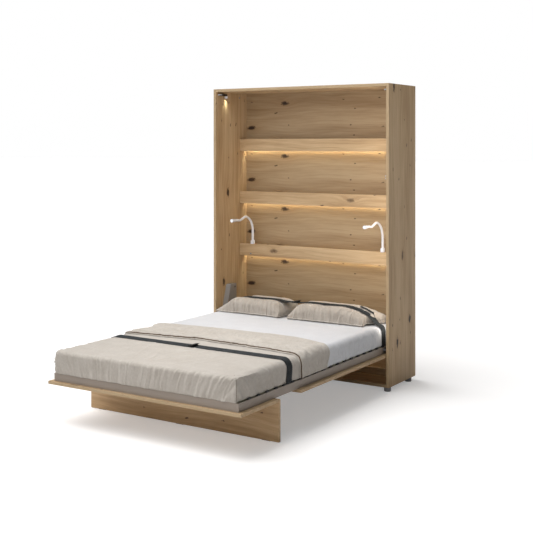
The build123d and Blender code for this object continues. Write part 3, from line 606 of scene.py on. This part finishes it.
MATTRESS_TOP = mattress_high.z
FOOT_Y = mattress_low.y
HEAD_Y = mattress_high.y
HALF = mattress_high.x
RAIL_TOP = rails_high.z
HEM_Z = RAIL_TOP + 0.0095
STRAP_Y = (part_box("strap_foot")[0].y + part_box("strap_foot")[1].y) / 2
HEAD_STRAP_Y = (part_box("strap_head")[0].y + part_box("strap_head")[1].y) / 2
HEM_ORIGIN = spread_low.y + (spread_high.y - spread_low.y) * 0.605

linen = fabric("linen", srgb(174, 166, 156), srgb(192, 185, 176), mottle=0.5, sheen=0.35)
pillow_linen = fabric("pillow_linen", srgb(168, 158, 147), srgb(188, 179, 168), mottle=0.5, sheen=0.3)
# A dark brown cloth used as painted shade: on the step behind the band's hem and in the corner seams.
seam_painted_shade = fabric("seam_painted_shade", srgb(78, 63, 49), srgb(104, 88, 72), mottle=0.5, sheen=0.1)
piping_cloth = fabric("piping_cloth", srgb(196, 188, 177), srgb(222, 214, 204), mottle=0.4, sheen=0.4)
percale = fabric("percale", srgb(203, 204, 207), srgb(213, 214, 217), 0.0007, 0.85, 0.2)
ticking = fabric("ticking", srgb(122, 122, 98), srgb(154, 154, 128), 0.0016)
pad_cloth = fabric("mattress_knit", srgb(196, 194, 186), srgb(222, 220, 212), 0.0014)
webbing = webbing_cloth("webbing", srgb(20, 21, 22), srgb(72, 76, 79))

SIDE_RADIUS = 0.048
FOOT_RADIUS = 0.026
CORNER_RADIUS = 0.018

# Mattress: a knitted cover with an olive border tape.
PAD_INSET = 0.004
pad_low = (-HALF + PAD_INSET, FOOT_Y + PAD_INSET, mattress_low.z)
pad_high = (HALF - PAD_INSET, HEAD_Y - PAD_INSET, MATTRESS_TOP - PAD_INSET)
points, normals, faces = box_shell(pad_low, pad_high, (SIDE_RADIUS, FOOT_RADIUS, CORNER_RADIUS), 0.03,
                                   {"left", "right", "foot", "head"})
mattress = mesh_piece("mattress_pad", points, faces, pad_cloth)


def border_tape(name, half, low, high, material):
    """A flat tape round the mattress's lower edge, with a rounded outer face."""
    outline = []
    turns = 6
    for sign_x, sign_y, start in ((1, -1, -90), (1, 1, 0), (-1, 1, 90), (-1, -1, 180)):
        centre_x = sign_x * (half - CORNER_RADIUS)
        centre_y = (FOOT_Y - half + HALF + CORNER_RADIUS if sign_y < 0
                    else HEAD_Y + half - HALF - CORNER_RADIUS)
        for turn in range(turns + 1):
            angle = math.radians(start + 90 * turn / turns)
            outline.append((centre_x + CORNER_RADIUS * math.cos(angle),
                            centre_y + CORNER_RADIUS * math.sin(angle)))
    loop = []
    for number, start in enumerate(outline):
        end = outline[(number + 1) % len(outline)]
        pieces = max(1, round(math.dist(start, end) / 0.008))
        for piece in range(pieces):
            share = piece / pieces
            loop.append((start[0] + (end[0] - start[0]) * share, start[1] + (end[1] - start[1]) * share))
    loop = np.array(loop)
    turn_x = np.roll(loop, -1, 0) - np.roll(loop, 1, 0)
    outward = np.stack([turn_x[:, 1], -turn_x[:, 0]], 1)
    outward /= np.linalg.norm(outward, axis=1)[:, None]
    profile = [(-0.006, 0.0), (-0.001, 0.02), (0.0, 0.2), (0.0004, 0.5), (0.0, 0.8), (-0.001, 0.98),
               (-0.006, 1.0)]
    points = [(*(place + out * depth), low + (high - low) * level)
              for place, out in zip(loop, outward) for depth, level in profile]
    count = len(profile)
    faces = [(row * count + column, row * count + (column + 1) % count,
              ((row + 1) % len(loop)) * count + (column + 1) % count,
              ((row + 1) % len(loop)) * count + column)
             for row in range(len(loop)) for column in range(count)]
    return mesh_piece(name, points, faces, material)


welt = border_tape("mattress_border_tape", HALF - 0.0036, RAIL_TOP + 0.0012, mattress_low.z + 0.001, ticking)

# The fitted sheet, drawn tight over the top, with upright puckers down its sides.
SHEET_GAP = 0.0025
SPREAD_HEAD_Y = FOOT_Y + 1.02
sheet_box = ((-HALF - SHEET_GAP, SPREAD_HEAD_Y - 0.02, HEM_Z),
             (HALF + SHEET_GAP, HEAD_Y + SHEET_GAP, MATTRESS_TOP + SHEET_GAP))
points, normals, faces = box_shell(*sheet_box, (SIDE_RADIUS, FOOT_RADIUS, CORNER_RADIUS), 0.0062,
                                   {"left", "right", "head"})
x, y, z = points.T
side = 1 - np.abs(normals[:, 2])
fall = MATTRESS_TOP - z
run = np.where(np.abs(normals[:, 0]) > np.abs(normals[:, 1]), y, x)
puckers = creases(run + 0.16 * fall * noise_field(points * 9, 3), z, 0.017, 0.14, 4, 2.4)
broad = creases(run, z, 0.055, 0.4, 6, 1.6)
height = smooth(side, 0.10, 0.8) * (0.0085 * puckers + 0.0040 * broad - 0.006)
edge_gap = HALF - np.abs(x)
tension = creases(x, y, 0.050, 0.9, 8, 3.0) * np.exp(-edge_gap / 0.16)
pull = creases(y + 0.4 * np.abs(x), x, 0.030, 0.16, 10, 3.0) * np.exp(-edge_gap / 0.06)
height += (1 - side) * (0.0022 * tension + 0.0034 * pull + 0.0012 * noise_field(points * 5, 5))
height -= 0.003 * smooth(fall, 0.110, 0.130) * side
points = points + normals * height[:, None]
sheet = mesh_piece("fitted_sheet_cloth", points, faces, percale)
thicken(sheet, 0.0012)

# The bedspread, fitted over the foot of the mattress, with two sewn corners.
SPREAD_GAP = 0.0036
spread_box = ((-HALF - SPREAD_GAP, FOOT_Y - SPREAD_GAP, HEM_Z),
              (HALF + SPREAD_GAP, SPREAD_HEAD_Y, MATTRESS_TOP + SPREAD_GAP))


def corner_fan(along, fall, slope, reach):
    """Where a fold that starts at along, level with the top, has got to after fall."""
    return along - slope * np.exp(-along / reach) * (fall + 0.03)


def spread_height(points, normals):
    """How far the bedspread's folds stand out from its fitted shape."""
    x, y, z = points.T
    fall = MATTRESS_TOP - z
    on_side = 1 - np.abs(normals[:, 2])
    facing_foot = np.clip(-normals[:, 1], 0, 1)
    height = 0.0016 * noise_field(points * (4.0, 4.0, 6.0), 1)

    # Folds over the foot: from the left corner they fan out, towards the right one they lean back.
    from_left, from_right = x + HALF, HALF - x
    drop = fall - np.minimum(y - FOOT_Y, 0.3)
    fan = corner_fan(from_left, drop, 1.5, 0.30)
    fan += (0.28 + 0.40 * np.exp(-from_right / 0.35)) * (drop + 0.03)
    fan += 0.005 * noise_field(points * 16, 7)
    near_foot = smooth(drop, -0.06, 0.02)
    strength = 0.0055 + 0.0075 * np.exp(-from_left / 0.30) + 0.0030 * np.exp(-from_right / 0.25)
    height += near_foot * strength * (creases(fan, drop, 0.021, 0.30, 2, 2.2) - 0.55)
    height += near_foot * facing_foot * 0.0040 * (creases(fan, drop, 0.015, 0.12, 12, 2.2) - 0.5)

    # The side drops: folds that lean away from the foot corner, then hang straight.
    from_foot = y - FOOT_Y
    side_drop = fall - np.minimum(HALF - np.abs(x), 0.3)
    lean = corner_fan(from_foot, side_drop, 1.1, 0.28) + 0.006 * noise_field(points * 14, 17)
    near_side = smooth(side_drop, -0.07, 0.03)
    strength = 0.0048 + 0.0060 * np.exp(-from_foot / 0.25)
    height += near_side * strength * (creases(lean, side_drop, 0.030, 0.25, 14, 2.4) - 0.45)
    height += near_side * 0.0036 * (creases(lean, side_drop, 0.016, 0.12, 15, 2.2) - 0.4)

    # A few long, low creases on top, that run up from the foot towards the buckle.
    aim = x + 0.03 - 0.35 * (y - STRAP_Y) * np.sign(x + 0.03)
    long_ones = creases(aim, y, 0.085, 1.2, 21, 4.5) * np.exp(-((x + 0.05) / 0.42) ** 2)
    height += 0.0060 * long_ones * (1 - on_side) * smooth(y, FOOT_Y + 0.02, FOOT_Y + 0.16)
    height += 0.0016 * (1 - on_side) * creases(y + 0.12 * x, x, 0.12, 0.6, 22, 4.0)

    # It lies flat where it is folded back over.
    height *= 1 - smooth(y, HEM_ORIGIN, HEM_ORIGIN + 0.05)

    # The strap presses a shallow channel.
    height -= 0.0026 * np.exp(-((y - STRAP_Y) / 0.032) ** 4)

    # The hem is drawn in under the mattress's lower edge, unevenly.
    tuck = smooth(fall, 0.104, 0.132) * on_side
    return height - tuck * (0.002 + 0.003 * noise_field(points * (24, 24, 2), 29))


points, normals, faces = box_shell(*spread_box, (SIDE_RADIUS, FOOT_RADIUS, CORNER_RADIUS), 0.0058,
                                   {"left", "right", "foot"})
hem_wave = 0.0030 * noise_field(points * (17.0, 17.0, 0.0), 31)
hem_wave += 0.0022 * noise_field(points * (55.0, 55.0, 0.0), 33) * np.exp(-(points[:, 1] - FOOT_Y) / 0.10)
hem_wave *= 0.45 * smooth(MATTRESS_TOP - points[:, 2], 0.06, 0.12)
raised = np.where(normals[:, 1] < -0.3, 0.0036, 0.0085)
puff = np.clip(spread_height(points, normals), -0.0052, raised)
fall = MATTRESS_TOP - points[:, 2]
points = points + normals * puff[:, None]
points[:, 2] += np.maximum(hem_wave, -0.0006)
points[:, 2] -= 0.0078 * np.clip(-normals[:, 1], 0, 1) * smooth(fall, 0.07, 0.12)
spread = mesh_piece("bedspread_cloth", points, faces, linen)
thicken(spread, 0.0020)
spread_tree = BVHTree.FromObject(spread, bpy.context.evaluated_depsgraph_get())


def tube(name, path, radius, material, rings=8):
    """A round cord of cloth along a list of points, with closed ends."""
    path = np.array(path, float)
    along = np.gradient(path, axis=0)
    along /= np.linalg.norm(along, axis=1)[:, None]
    side_way = np.cross(along, (0.31, 0.17, 0.93))
    side_way /= np.linalg.norm(side_way, axis=1)[:, None]
    other_way = np.cross(along, side_way)
    points, faces = [], []
    for place, first, second in zip(path, side_way, other_way):
        for ring in range(rings):
            angle = 2 * math.pi * ring / rings
            points.append(place + radius * (math.cos(angle) * first + math.sin(angle) * second))
    for row in range(len(path) - 1):
        for ring in range(rings):
            after = (ring + 1) % rings
            faces.append((row * rings + ring, row * rings + after, (row + 1) * rings + after,
                          (row + 1) * rings + ring))
    faces.append(tuple(reversed(range(rings))))
    faces.append(tuple((len(path) - 1) * rings + ring for ring in range(rings)))
    return mesh_piece(name, points, faces, material)


def corner_seam(sign):
    """The places of a sewn seam down one foot corner of the bedspread."""
    places = []
    for level in np.linspace(0.0, 1.0, 22):
        height = MATTRESS_TOP + 0.004 - level * (MATTRESS_TOP + 0.004 - HEM_Z - 0.001)
        start = Vector((sign * (HALF + 0.08), FOOT_Y - 0.08, height))
        found = spread_tree.ray_cast(start, Vector((-sign, 1, 0)).normalized())[0]
        if found:
            places.append(found + 0.0002 * Vector((sign, -1, 0)))
    return places


# The corner seams are real cords, coloured dark: painted shade in the seam's crease.
seams = [tube("bedspread_seam_left", corner_seam(-1), 0.0011, seam_painted_shade),
         tube("bedspread_seam_right", corner_seam(1), 0.0011, seam_painted_shade)]

# The bedspread's head end is folded back over itself: round the fold, over the top and down both
# sides, to a flat hem, with gathered cloth behind it and a dark line of painted shadow on its step.
FOLD_LINE = ((-1.0, 0.395), (-0.8, 0.425), (-0.1, 0.462), (0.5, 0.478), (0.85, 0.415), (1.0, 0.365))
HEM_LINE = ((-1.0, 0.0), (-0.6, 0.03), (-0.18, 0.085), (0.25, 0.062), (0.64, 0.048), (1.0, 0.0))
# Where the painted shadow on the hem's step begins and ends, ahead of the hem.
PAINTED_SHADE_NEAR, PAINTED_SHADE_FAR = 0.0106, 0.0128


def line_at(line, share):
    """A smooth line through a few points, at shares from -1 to 1 of the width."""
    at = np.interp(share, *zip(*line))
    wide = [np.interp(np.clip(share + shift, -1, 1), *zip(*line)) for shift in (-0.1, -0.05, 0.05, 0.1)]
    return (at + sum(wide)) / 5


def across_bed(gap, count, hem_z, y):
    """Points and outward normals (x, z) of a line over the bed from hem to hem, gap off the pad."""
    half, top = HALF + gap, MATTRESS_TOP + gap
    radius = SIDE_RADIUS + gap
    drop = top - hem_z
    total = 2 * drop + 2 * half
    distance = np.linspace(0, total, count)
    places = np.stack([np.clip(distance - drop, 0, 2 * half) - half, 0 * distance,
                       hem_z + np.minimum(drop, np.minimum(distance, total - distance))], 1)
    square = places.copy()
    round_edge(places, 0, lambda x: x - np.clip(x, radius - half, half - radius),
               2, lambda z: z - np.clip(z, -9.0, top - radius))
    soft = edge_softness(places[:, 0], np.full(count, y))[:, None]
    places = square + (places - square) * soft
    step = np.gradient(places, axis=0)
    step /= np.linalg.norm(step, axis=1)[:, None]
    return places[:, (0, 2)], np.stack([-step[:, 2], step[:, 0]], 1), total


def grid_faces(rows, columns):
    return [(r * columns + c, r * columns + c + 1, (r + 1) * columns + c + 1, (r + 1) * columns + c)
            for r in range(rows - 1) for c in range(columns - 1)]


def turned_back_band():
    columns = 320
    line, outward, girth = across_bed(0.0, columns, HEM_Z + 0.001, HEM_ORIGIN)
    share = np.linspace(-1, 1, columns) * girth / 2
    width_share = np.clip(line[:, 0] / HALF, -1, 1)
    fold_y = HEM_ORIGIN + line_at(FOLD_LINE, width_share)
    hem_y = HEM_ORIGIN + line_at(HEM_LINE, width_share)
    lower = smooth(MATTRESS_TOP - line[:, 1], 0.03, 0.13)
    fold_y -= lower * np.where(line[:, 0] > 0, 0.035, 0.02)
    fold_y += 0.005 * noise_field(np.stack([share / 0.10, share * 0, share * 0], 1), 41)
    hem_y += 0.0036 * noise_field(np.stack([share / 0.030, share * 0, share * 0], 1), 42)
    hem_y += 0.0050 * noise_field(np.stack([share / 0.12, share * 0, share * 0], 1), 49)
    on_top = np.abs(outward[:, 1])
    start_gap = SPREAD_GAP + 0.0050

    # Each row is (y, gap off the pad, how much of the folds it takes).
    rows = [(fold_y - back, np.full(columns, SHEET_GAP + 0.0020), 0.0) for back in (0.05, 0.035, 0.02)]
    bulge = 0.0060
    turns = 7
    for turn in range(turns + 1):
        angle = -math.pi / 2 + math.pi * turn / turns
        gap = SHEET_GAP + 0.0020 + bulge * (1 + math.sin(angle))
        rows.append((fold_y - bulge + bulge * math.cos(angle), np.full(columns, gap), 0.15 * turn / turns))
    steps = 70
    near_hem = 0.022
    for step in range(1, steps + 1):
        part = (step / steps) ** 0.92
        rows.append(((fold_y - bulge) * (1 - part) + (hem_y + near_hem) * part,
                     np.full(columns, 0.0105), 1.0))
    # The rows on the cloth's step down to the hem are listed here; they get the dark cloth, a painted shadow.
    painted_shade_rows = []
    for ahead, gap in ((0.0185, 0.0172), (0.0160, 0.0178), (0.0138, 0.0172), (PAINTED_SHADE_FAR, 0.0156),
                       (0.0114, 0.0118), (PAINTED_SHADE_NEAR, 0.0078), (0.0085, 0.0074), (0.0055, 0.0080),
                       (0.0030, 0.0080), (0.0010, 0.0072), (0.0, 0.0062), (0.0006, 0.0050)):
        if PAINTED_SHADE_NEAR <= ahead <= PAINTED_SHADE_FAR:
            painted_shade_rows.append(len(rows))
        rows.append((hem_y + ahead, np.full(columns, start_gap - 0.0086 + gap), 1.0))

    points = []
    for along, gap, loose in rows:
        from_hem = along - hem_y
        from_fold = fold_y - along
        flat_place = np.stack([share, along, 0 * along], 1)
        bow = along + 0.045 * noise_field(flat_place * (2.6, 5.0, 1), 43)
        lengthways = creases(bow, share, 0.052, 0.36, 44, 2.8)
        second = creases(bow + 0.35 * share, share, 0.040, 0.22, 50, 3.0)
        upright = creases(along + 0.25 * share, share, 0.034, 0.30, 45, 2.2)
        puff = (0.0210 * lengthways + 0.0090 * second - 0.0085) * on_top
        puff = puff + (0.0090 * upright - 0.003) * (1 - on_top)
        puff *= smooth(from_fold, 0.0, 0.05) * smooth(from_hem, 0.012, 0.045)
        gathers = creases(share + 0.6 * from_hem * noise_field(flat_place * 9, 46), along, 0.016, 0.10,
                          47, 1.8)
        gathered = 0.0060 * gathers * np.exp(-np.maximum(from_hem - 0.012, 0) / 0.05)
        gathered *= smooth(from_hem, 0.0105, 0.020) + 0.25 * smooth(0.0085 - from_hem, 0.0, 0.004)
        slanting = creases(share + 0.8 * from_fold, along, 0.05, 0.3, 48, 3.0)
        height = gap + loose * (puff + gathered + 0.0030 * slanting * smooth(from_fold, 0.0, 0.03))
        height = np.clip(height, np.minimum(gap, 0.0085), 0.031)
        points.append(np.stack([line[:, 0] + outward[:, 0] * height, along,
                                line[:, 1] + outward[:, 1] * height], 1))
    band = mesh_piece("bedspread_turned_back", np.concatenate(points),
                      grid_faces(len(points), columns), linen)
    # The step's faces are coloured dark: painted shadow under the raised cloth, not thread.
    band.data.materials.append(seam_painted_shade)
    for row in painted_shade_rows[:-1]:
        for column in range(columns - 1):
            band.data.polygons[row * (columns - 1) + column].material_index = 1
    thicken(band, 0.0018)
    return band


band = turned_back_band()

# ---------------------------------------------------------------- pillows

# Shares of a pillow's height, from its front to its back and over its two ends.
FRONT_TO_BACK = ((-1.0, 0.0), (-0.985, 0.34), (-0.90, 0.60), (-0.70, 0.84), (-0.36, 1.0), (0.20, 1.0),
                 (0.52, 0.80), (0.84, 0.30), (0.97, 0.10), (1.0, 0.0))
LEFT_ENDS = ((-1.0, 0.0), (-0.94, 0.16), (-0.60, 0.94), (-0.46, 1.0), (0.66, 1.0), (0.86, 0.84), (0.97, 0.45),
             (1.0, 0.0))
RIGHT_ENDS = ((-1.0, 0.0), (-0.94, 0.40), (-0.78, 0.90), (-0.60, 1.0), (0.42, 1.0), (0.72, 0.80),
              (0.92, 0.56), (0.985, 0.36), (1.0, 0.0))

# Where each pillow's two ends lie, as shares of its box: at its front and at its back.
LEFT_REACH = ((-1.0, -1.0, 0.80), (-0.8, -0.93, 0.82), (-0.2, -0.78, 0.90), (0.3, -0.74, 0.97),
              (1.0, -0.90, 1.0))
RIGHT_REACH = ((-1.0, -1.0, 0.78), (-0.5, -0.98, 0.81), (0.0, -0.95, 0.90), (0.4, -0.93, 0.985),
               (1.0, -0.93, 1.0))


def pillow_blank(name, low, high, ends, reach, material):
    """A plump closed form with pulled-in sides and pointed corners, and the places of its seam."""
    count_u, count_v = 72, 44
    centre = (Vector(low) + Vector(high)) / 2
    half_x, half_y = (high.x - low.x) / 2, (high.y - low.y) / 2
    seam_z = low.z + 0.010
    rise, sink = high.z + 0.006 - seam_z, seam_z - low.z
    u = np.linspace(-1, 1, count_u + 1)[:, None] * np.ones(count_v + 1)
    v = np.linspace(-1, 1, count_v + 1)[None, :] * np.ones((count_u + 1, 1))
    level = np.interp(v, *zip(*FRONT_TO_BACK)) * np.interp(u, *zip(*ends))
    for _ in range(3):
        level[1:-1, 1:-1] = (4 * level[1:-1, 1:-1] + level[:-2, 1:-1] + level[2:, 1:-1]
                             + level[1:-1, :-2] + level[1:-1, 2:]) / 8
    stops, left_end, right_end = zip(*reach)
    from_x, to_x = np.interp(v, stops, left_end), np.interp(v, stops, right_end)
    place_x = centre.x + half_x * (from_x + (to_x - from_x) * (u + 1) / 2)
    place_y = centre.y + half_y * v * (1 - 0.045 * (1 - u ** 4))
    points, faces, index = [], [], {}
    for layer in (1, -1):
        for i in range(count_u + 1):
            for j in range(count_v + 1):
                if layer < 0 and (i in (0, count_u) or j in (0, count_v)):
                    index[layer, i, j] = index[1, i, j]
                    continue
                full = level[i, j]
                height = seam_z + (rise * full if layer > 0 else -sink * min(1.0, 3 * full))
                index[layer, i, j] = len(points)
                points.append((place_x[i, j], place_y[i, j], height))
        for i in range(count_u):
            for j in range(count_v):
                quad = [index[layer, i, j], index[layer, i + 1, j], index[layer, i + 1, j + 1],
                        index[layer, i, j + 1]]
                faces.append(tuple(quad if layer > 0 else reversed(quad)))
    rim = ([index[1, i, 0] for i in range(count_u)] + [index[1, count_u, j] for j in range(count_v)]
           + [index[1, i, count_v] for i in range(count_u, 0, -1)]
           + [index[1, 0, j] for j in range(count_v, 0, -1)])
    seam = [points[number] for number in rim]
    return mesh_piece(name, points, faces, material), seam


def inflate(piece, voxel, pressure, cap, shrink=0.0):
    """Blows a closed form up as cloth, as a stuffed cover, and keeps each point within cap."""
    remesh = piece.modifiers.new("remesh", "REMESH")
    remesh.mode = "VOXEL"
    remesh.voxel_size = voxel
    settle(piece)
    before = coordinates(piece.data)
    cloth = piece.modifiers.new("cloth", "CLOTH")
    cloth.settings.quality = 5
    cloth.settings.mass = 0.25
    cloth.settings.use_pressure = True
    cloth.settings.uniform_pressure_force = pressure
    cloth.settings.shrink_min = shrink
    cloth.settings.effector_weights.gravity = 0.0
    cloth.point_cache.frame_start = 1
    cloth.point_cache.frame_end = 20
    for frame_number in range(1, 21):
        bpy.context.scene.frame_set(frame_number)
    settle(piece)
    bpy.context.scene.frame_set(1)
    moved = coordinates(piece.data) - before
    far = np.linalg.norm(moved, axis=1)
    moved *= np.minimum(1.0, cap / np.maximum(far, 1e-9))[:, None]
    set_coordinates(piece.data, before + moved)


def vertex_normals(mesh):
    values = np.empty(3 * len(mesh.vertices))
    mesh.vertex_normals.foreach_get("vector", values)
    return values.reshape(-1, 3)


def make_pillow(side, ends, reach):
    """One pillow and the piping in its seam."""
    low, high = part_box(f"pillow_{side}")
    inset = Vector((0.006, 0.006, 0.0))
    pillow, seam = pillow_blank(f"pillow_{side}_cushion", low + inset, high - inset, ends, reach,
                                pillow_linen)
    inflate(pillow, 0.0055, 4.0, 0.010, shrink=-0.05)
    detail = pillow.modifiers.new("detail", "SUBSURF")
    detail.levels = 1
    settle(pillow)
    points, normals = coordinates(pillow.data), vertex_normals(pillow.data)
    x, y, z = points.T
    seed = 60 if side == "left" else 70
    # upright puckers on the front, gathered along the seam, and soft dents all over
    level = (z - low.z) / (high.z - low.z)
    front = smooth(-normals[:, 1], 0.1, 0.6)
    sway = x + 0.35 * (z - low.z) * noise_field(points * 7, seed)
    puckers = creases(sway, z, 0.022, 0.12, seed + 1, 2.2)
    fine = creases(sway, z, 0.011, 0.05, seed + 5, 2.0) * np.exp(-level / 0.4)
    ends_facing = smooth(np.abs(normals[:, 0]), 0.2, 0.8)
    end_folds = creases(y, z, 0.028, 0.14, seed + 2, 2.0)
    drawn = creases(x - 0.4 * (y - low.y), y, 0.05, 0.30, seed + 3, 2.6)
    height = front * (0.0095 * puckers + 0.0045 * fine - 0.003) + 0.0060 * ends_facing * end_folds
    height += 0.0050 * smooth(normals[:, 2], 0.3, 0.9) * (drawn - 0.4)
    height += 0.0042 * noise_field(points * (8, 8, 12), seed + 4)
    strap_dent = np.exp(-((y - HEAD_STRAP_Y) / 0.036) ** 4) * smooth(level, 0.35, 0.8)
    height -= 0.0065 * strap_dent
    height += 0.0040 * (1 - strap_dent) * smooth(level, 0.6, 1.0)
    points = points + normals * height[:, None]
    points = np.minimum(points, np.array([high.x, high.y, high.z + 0.012]))
    points = np.maximum(points, np.array([low.x, low.y - 0.008, low.z]))
    set_coordinates(pillow.data, points)
    tree = BVHTree.FromObject(pillow, bpy.context.evaluated_depsgraph_get())
    path = [tree.find_nearest(Vector(place))[0] for place in seam]
    path = [0.25 * path[number - 1] + 0.5 * path[number] + 0.25 * path[(number + 1) % len(path)]
            for number in range(len(path))]
    piping = tube(f"pillow_{side}_piping", path + path[:1], 0.0026, piping_cloth)
    return pillow, piping


pillow_left, piping_left = make_pillow("left", LEFT_ENDS, LEFT_REACH)
pillow_right, piping_right = make_pillow("right", RIGHT_ENDS, RIGHT_REACH)

# ---------------------------------------------------------------- straps


def ribbon(name, centre, outward, width, thickness, material, tilt=0.0):
    """A webbing strap along centre: thicker at its two selvedges, with square ends."""
    profile = [(-0.5, 0.15), (-0.49, 0.8), (-0.46, 1.0), (-0.42, 0.85), (-0.40, 0.62), (-0.2, 0.66),
               (0.0, 0.68), (0.2, 0.66), (0.40, 0.62), (0.42, 0.85), (0.46, 1.0), (0.49, 0.8), (0.5, 0.15)]
    ring = profile + [(w, 0.0) for w, h in reversed(profile)]
    points, faces = [], []
    for place, normal in zip(centre, outward):
        for across, up in ring:
            points.append((place[0] + normal[0] * up * thickness,
                           place[1] + across * width,
                           place[2] + normal[2] * (up * thickness + tilt * (across + 0.35) * width)))
    size = len(ring)
    for row in range(len(centre) - 1):
        for column in range(size):
            after = (column + 1) % size
            faces.append((row * size + column, row * size + after, (row + 1) * size + after,
                          (row + 1) * size + column))
    faces.append(tuple(reversed(range(size))))
    faces.append(tuple((len(centre) - 1) * size + column for column in range(size)))
    return mesh_piece(name, points, faces, material)


WEBBING = 0.0026
strap_low, strap_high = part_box("strap_foot")
line, outward, girth = across_bed(SPREAD_GAP + 0.0026, 320, RAIL_TOP + 0.004, STRAP_Y)
centre = np.stack([line[:, 0], np.full(len(line), STRAP_Y), line[:, 1]], 1)
wander = noise_field(np.stack([np.linspace(0, 12, len(line))] * 3, 1), 51)
centre[:, 1] += 0.0016 * wander - 0.010 * smooth(MATTRESS_TOP - line[:, 1], 0.05, 0.13)
strap_normals = np.stack([outward[:, 0], 0 * outward[:, 0], outward[:, 1]], 1)
foot_strap = ribbon("foot_strap_webbing", centre, strap_normals, strap_high.y - strap_low.y, WEBBING,
                    webbing, 0.065)

# The head strap lies over the pillows: it rests on their tops and runs straight in between.
head_low, head_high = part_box("strap_head")
pillow_trees = [BVHTree.FromObject(pillow, bpy.context.evaluated_depsgraph_get())
                for pillow in (pillow_left, pillow_right)]


def top_under(x, y):
    """The height of the bedding's top at x, y."""
    heights = [MATTRESS_TOP + SHEET_GAP]
    for tree in pillow_trees:
        found = tree.ray_cast(Vector((x, y, 1.0)), Vector((0, 0, -1)))[0]
        if found:
            heights.append(found.z)
    return max(heights)


def tight_over(places):
    """The upper hull of a row of (x, z) places: the line of a tight strap over them."""
    hull = []
    for place in places:
        while len(hull) > 1 and ((hull[-1][0] - hull[-2][0]) * (place[1] - hull[-2][1])
                                 >= (hull[-1][1] - hull[-2][1]) * (place[0] - hull[-2][0])):
            hull.pop()
        hull.append(place)
    return hull


STRAP_EDGE = HALF + SHEET_GAP + 0.0030
xs = np.linspace(-HALF + 0.012, HALF - 0.012, 180)
over = [(x, max(top_under(x, HEAD_STRAP_Y + shift) for shift in (-0.02, 0.0, 0.02)) + 0.0005) for x in xs]
hull = tight_over([(-STRAP_EDGE, MATTRESS_TOP - 0.020)] + over + [(STRAP_EDGE, MATTRESS_TOP - 0.020)])
top_x = np.linspace(-STRAP_EDGE, STRAP_EDGE, 260)
tight = np.interp(top_x, *zip(*hull))
rest = np.interp(top_x, *zip(*over))
run_z = np.maximum(tight - 0.010 * smooth(tight - rest, 0.0, 0.02), rest)
for _ in range(14):
    run_z[1:-1] = (run_z[:-2] + 2 * run_z[1:-1] + run_z[2:]) / 4
down = np.linspace(MATTRESS_TOP - 0.024, RAIL_TOP + 0.004, 24)
path_x = np.concatenate([np.full(24, -STRAP_EDGE), top_x, np.full(24, STRAP_EDGE)])
path_z = np.concatenate([down[::-1], run_z, down])
for _ in range(10):
    path_x[1:-1] = (path_x[:-2] + 2 * path_x[1:-1] + path_x[2:]) / 4
    path_z[1:-1] = (path_z[:-2] + 2 * path_z[1:-1] + path_z[2:]) / 4
step_x, step_z = np.gradient(path_x), np.gradient(path_z)
length = np.hypot(step_x, step_z)
head_normals = np.stack([-step_z / length, 0 * length, step_x / length], 1)
centre = np.stack([path_x, np.full(len(path_x), HEAD_STRAP_Y), path_z], 1)
head_strap = ribbon("head_strap_webbing", centre, head_normals, head_high.y - head_low.y, WEBBING, webbing)

# The head strap's free tail lies beside it, down the right pillow's slope.
tail_from, tail_to = np.searchsorted(path_x[:-24], (HALF - 0.20, HALF - 0.055))
tail_rows = slice(tail_from, tail_to)
tail_centre = centre[tail_rows] + np.array([0.0, 0.045, 0.0])
tail_centre[:, 2] = [top_under(place[0], place[1]) + 0.001 for place in tail_centre]
for _ in range(8):
    tail_centre[1:-1] = (tail_centre[:-2] + 2 * tail_centre[1:-1] + tail_centre[2:]) / 4
tail = ribbon("head_strap_tail", tail_centre, head_normals[tail_rows], 0.026, WEBBING, webbing)

# ---------------------------------------------------------------- what rides on what

for piece, stood_for, slot in (
        (mattress, "mattress", "mattress_cloth"), (welt, None, "mattress_cloth"),
        (sheet, "fitted_sheet", "sheet_cloth"), (spread, "bedspread", "bedspread_cloth"),
        (band, None, "bedspread_cloth"), (seams[0], None, "bedspread_cloth"),
        (seams[1], None, "bedspread_cloth"), (pillow_left, "pillow_left", "pillow_cloth"),
        (piping_left, None, "pillow_cloth"), (pillow_right, "pillow_right", "pillow_cloth"),
        (piping_right, None, "pillow_cloth"), (foot_strap, "strap_foot", "webbing"),
        (head_strap, "strap_head", "webbing"), (tail, None, "webbing")):
    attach(piece, "bed")
    if stood_for:
        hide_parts(stood_for)

for piece in (pillow_left, piping_left, pillow_right, piping_right, head_strap, tail):
    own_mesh(piece)
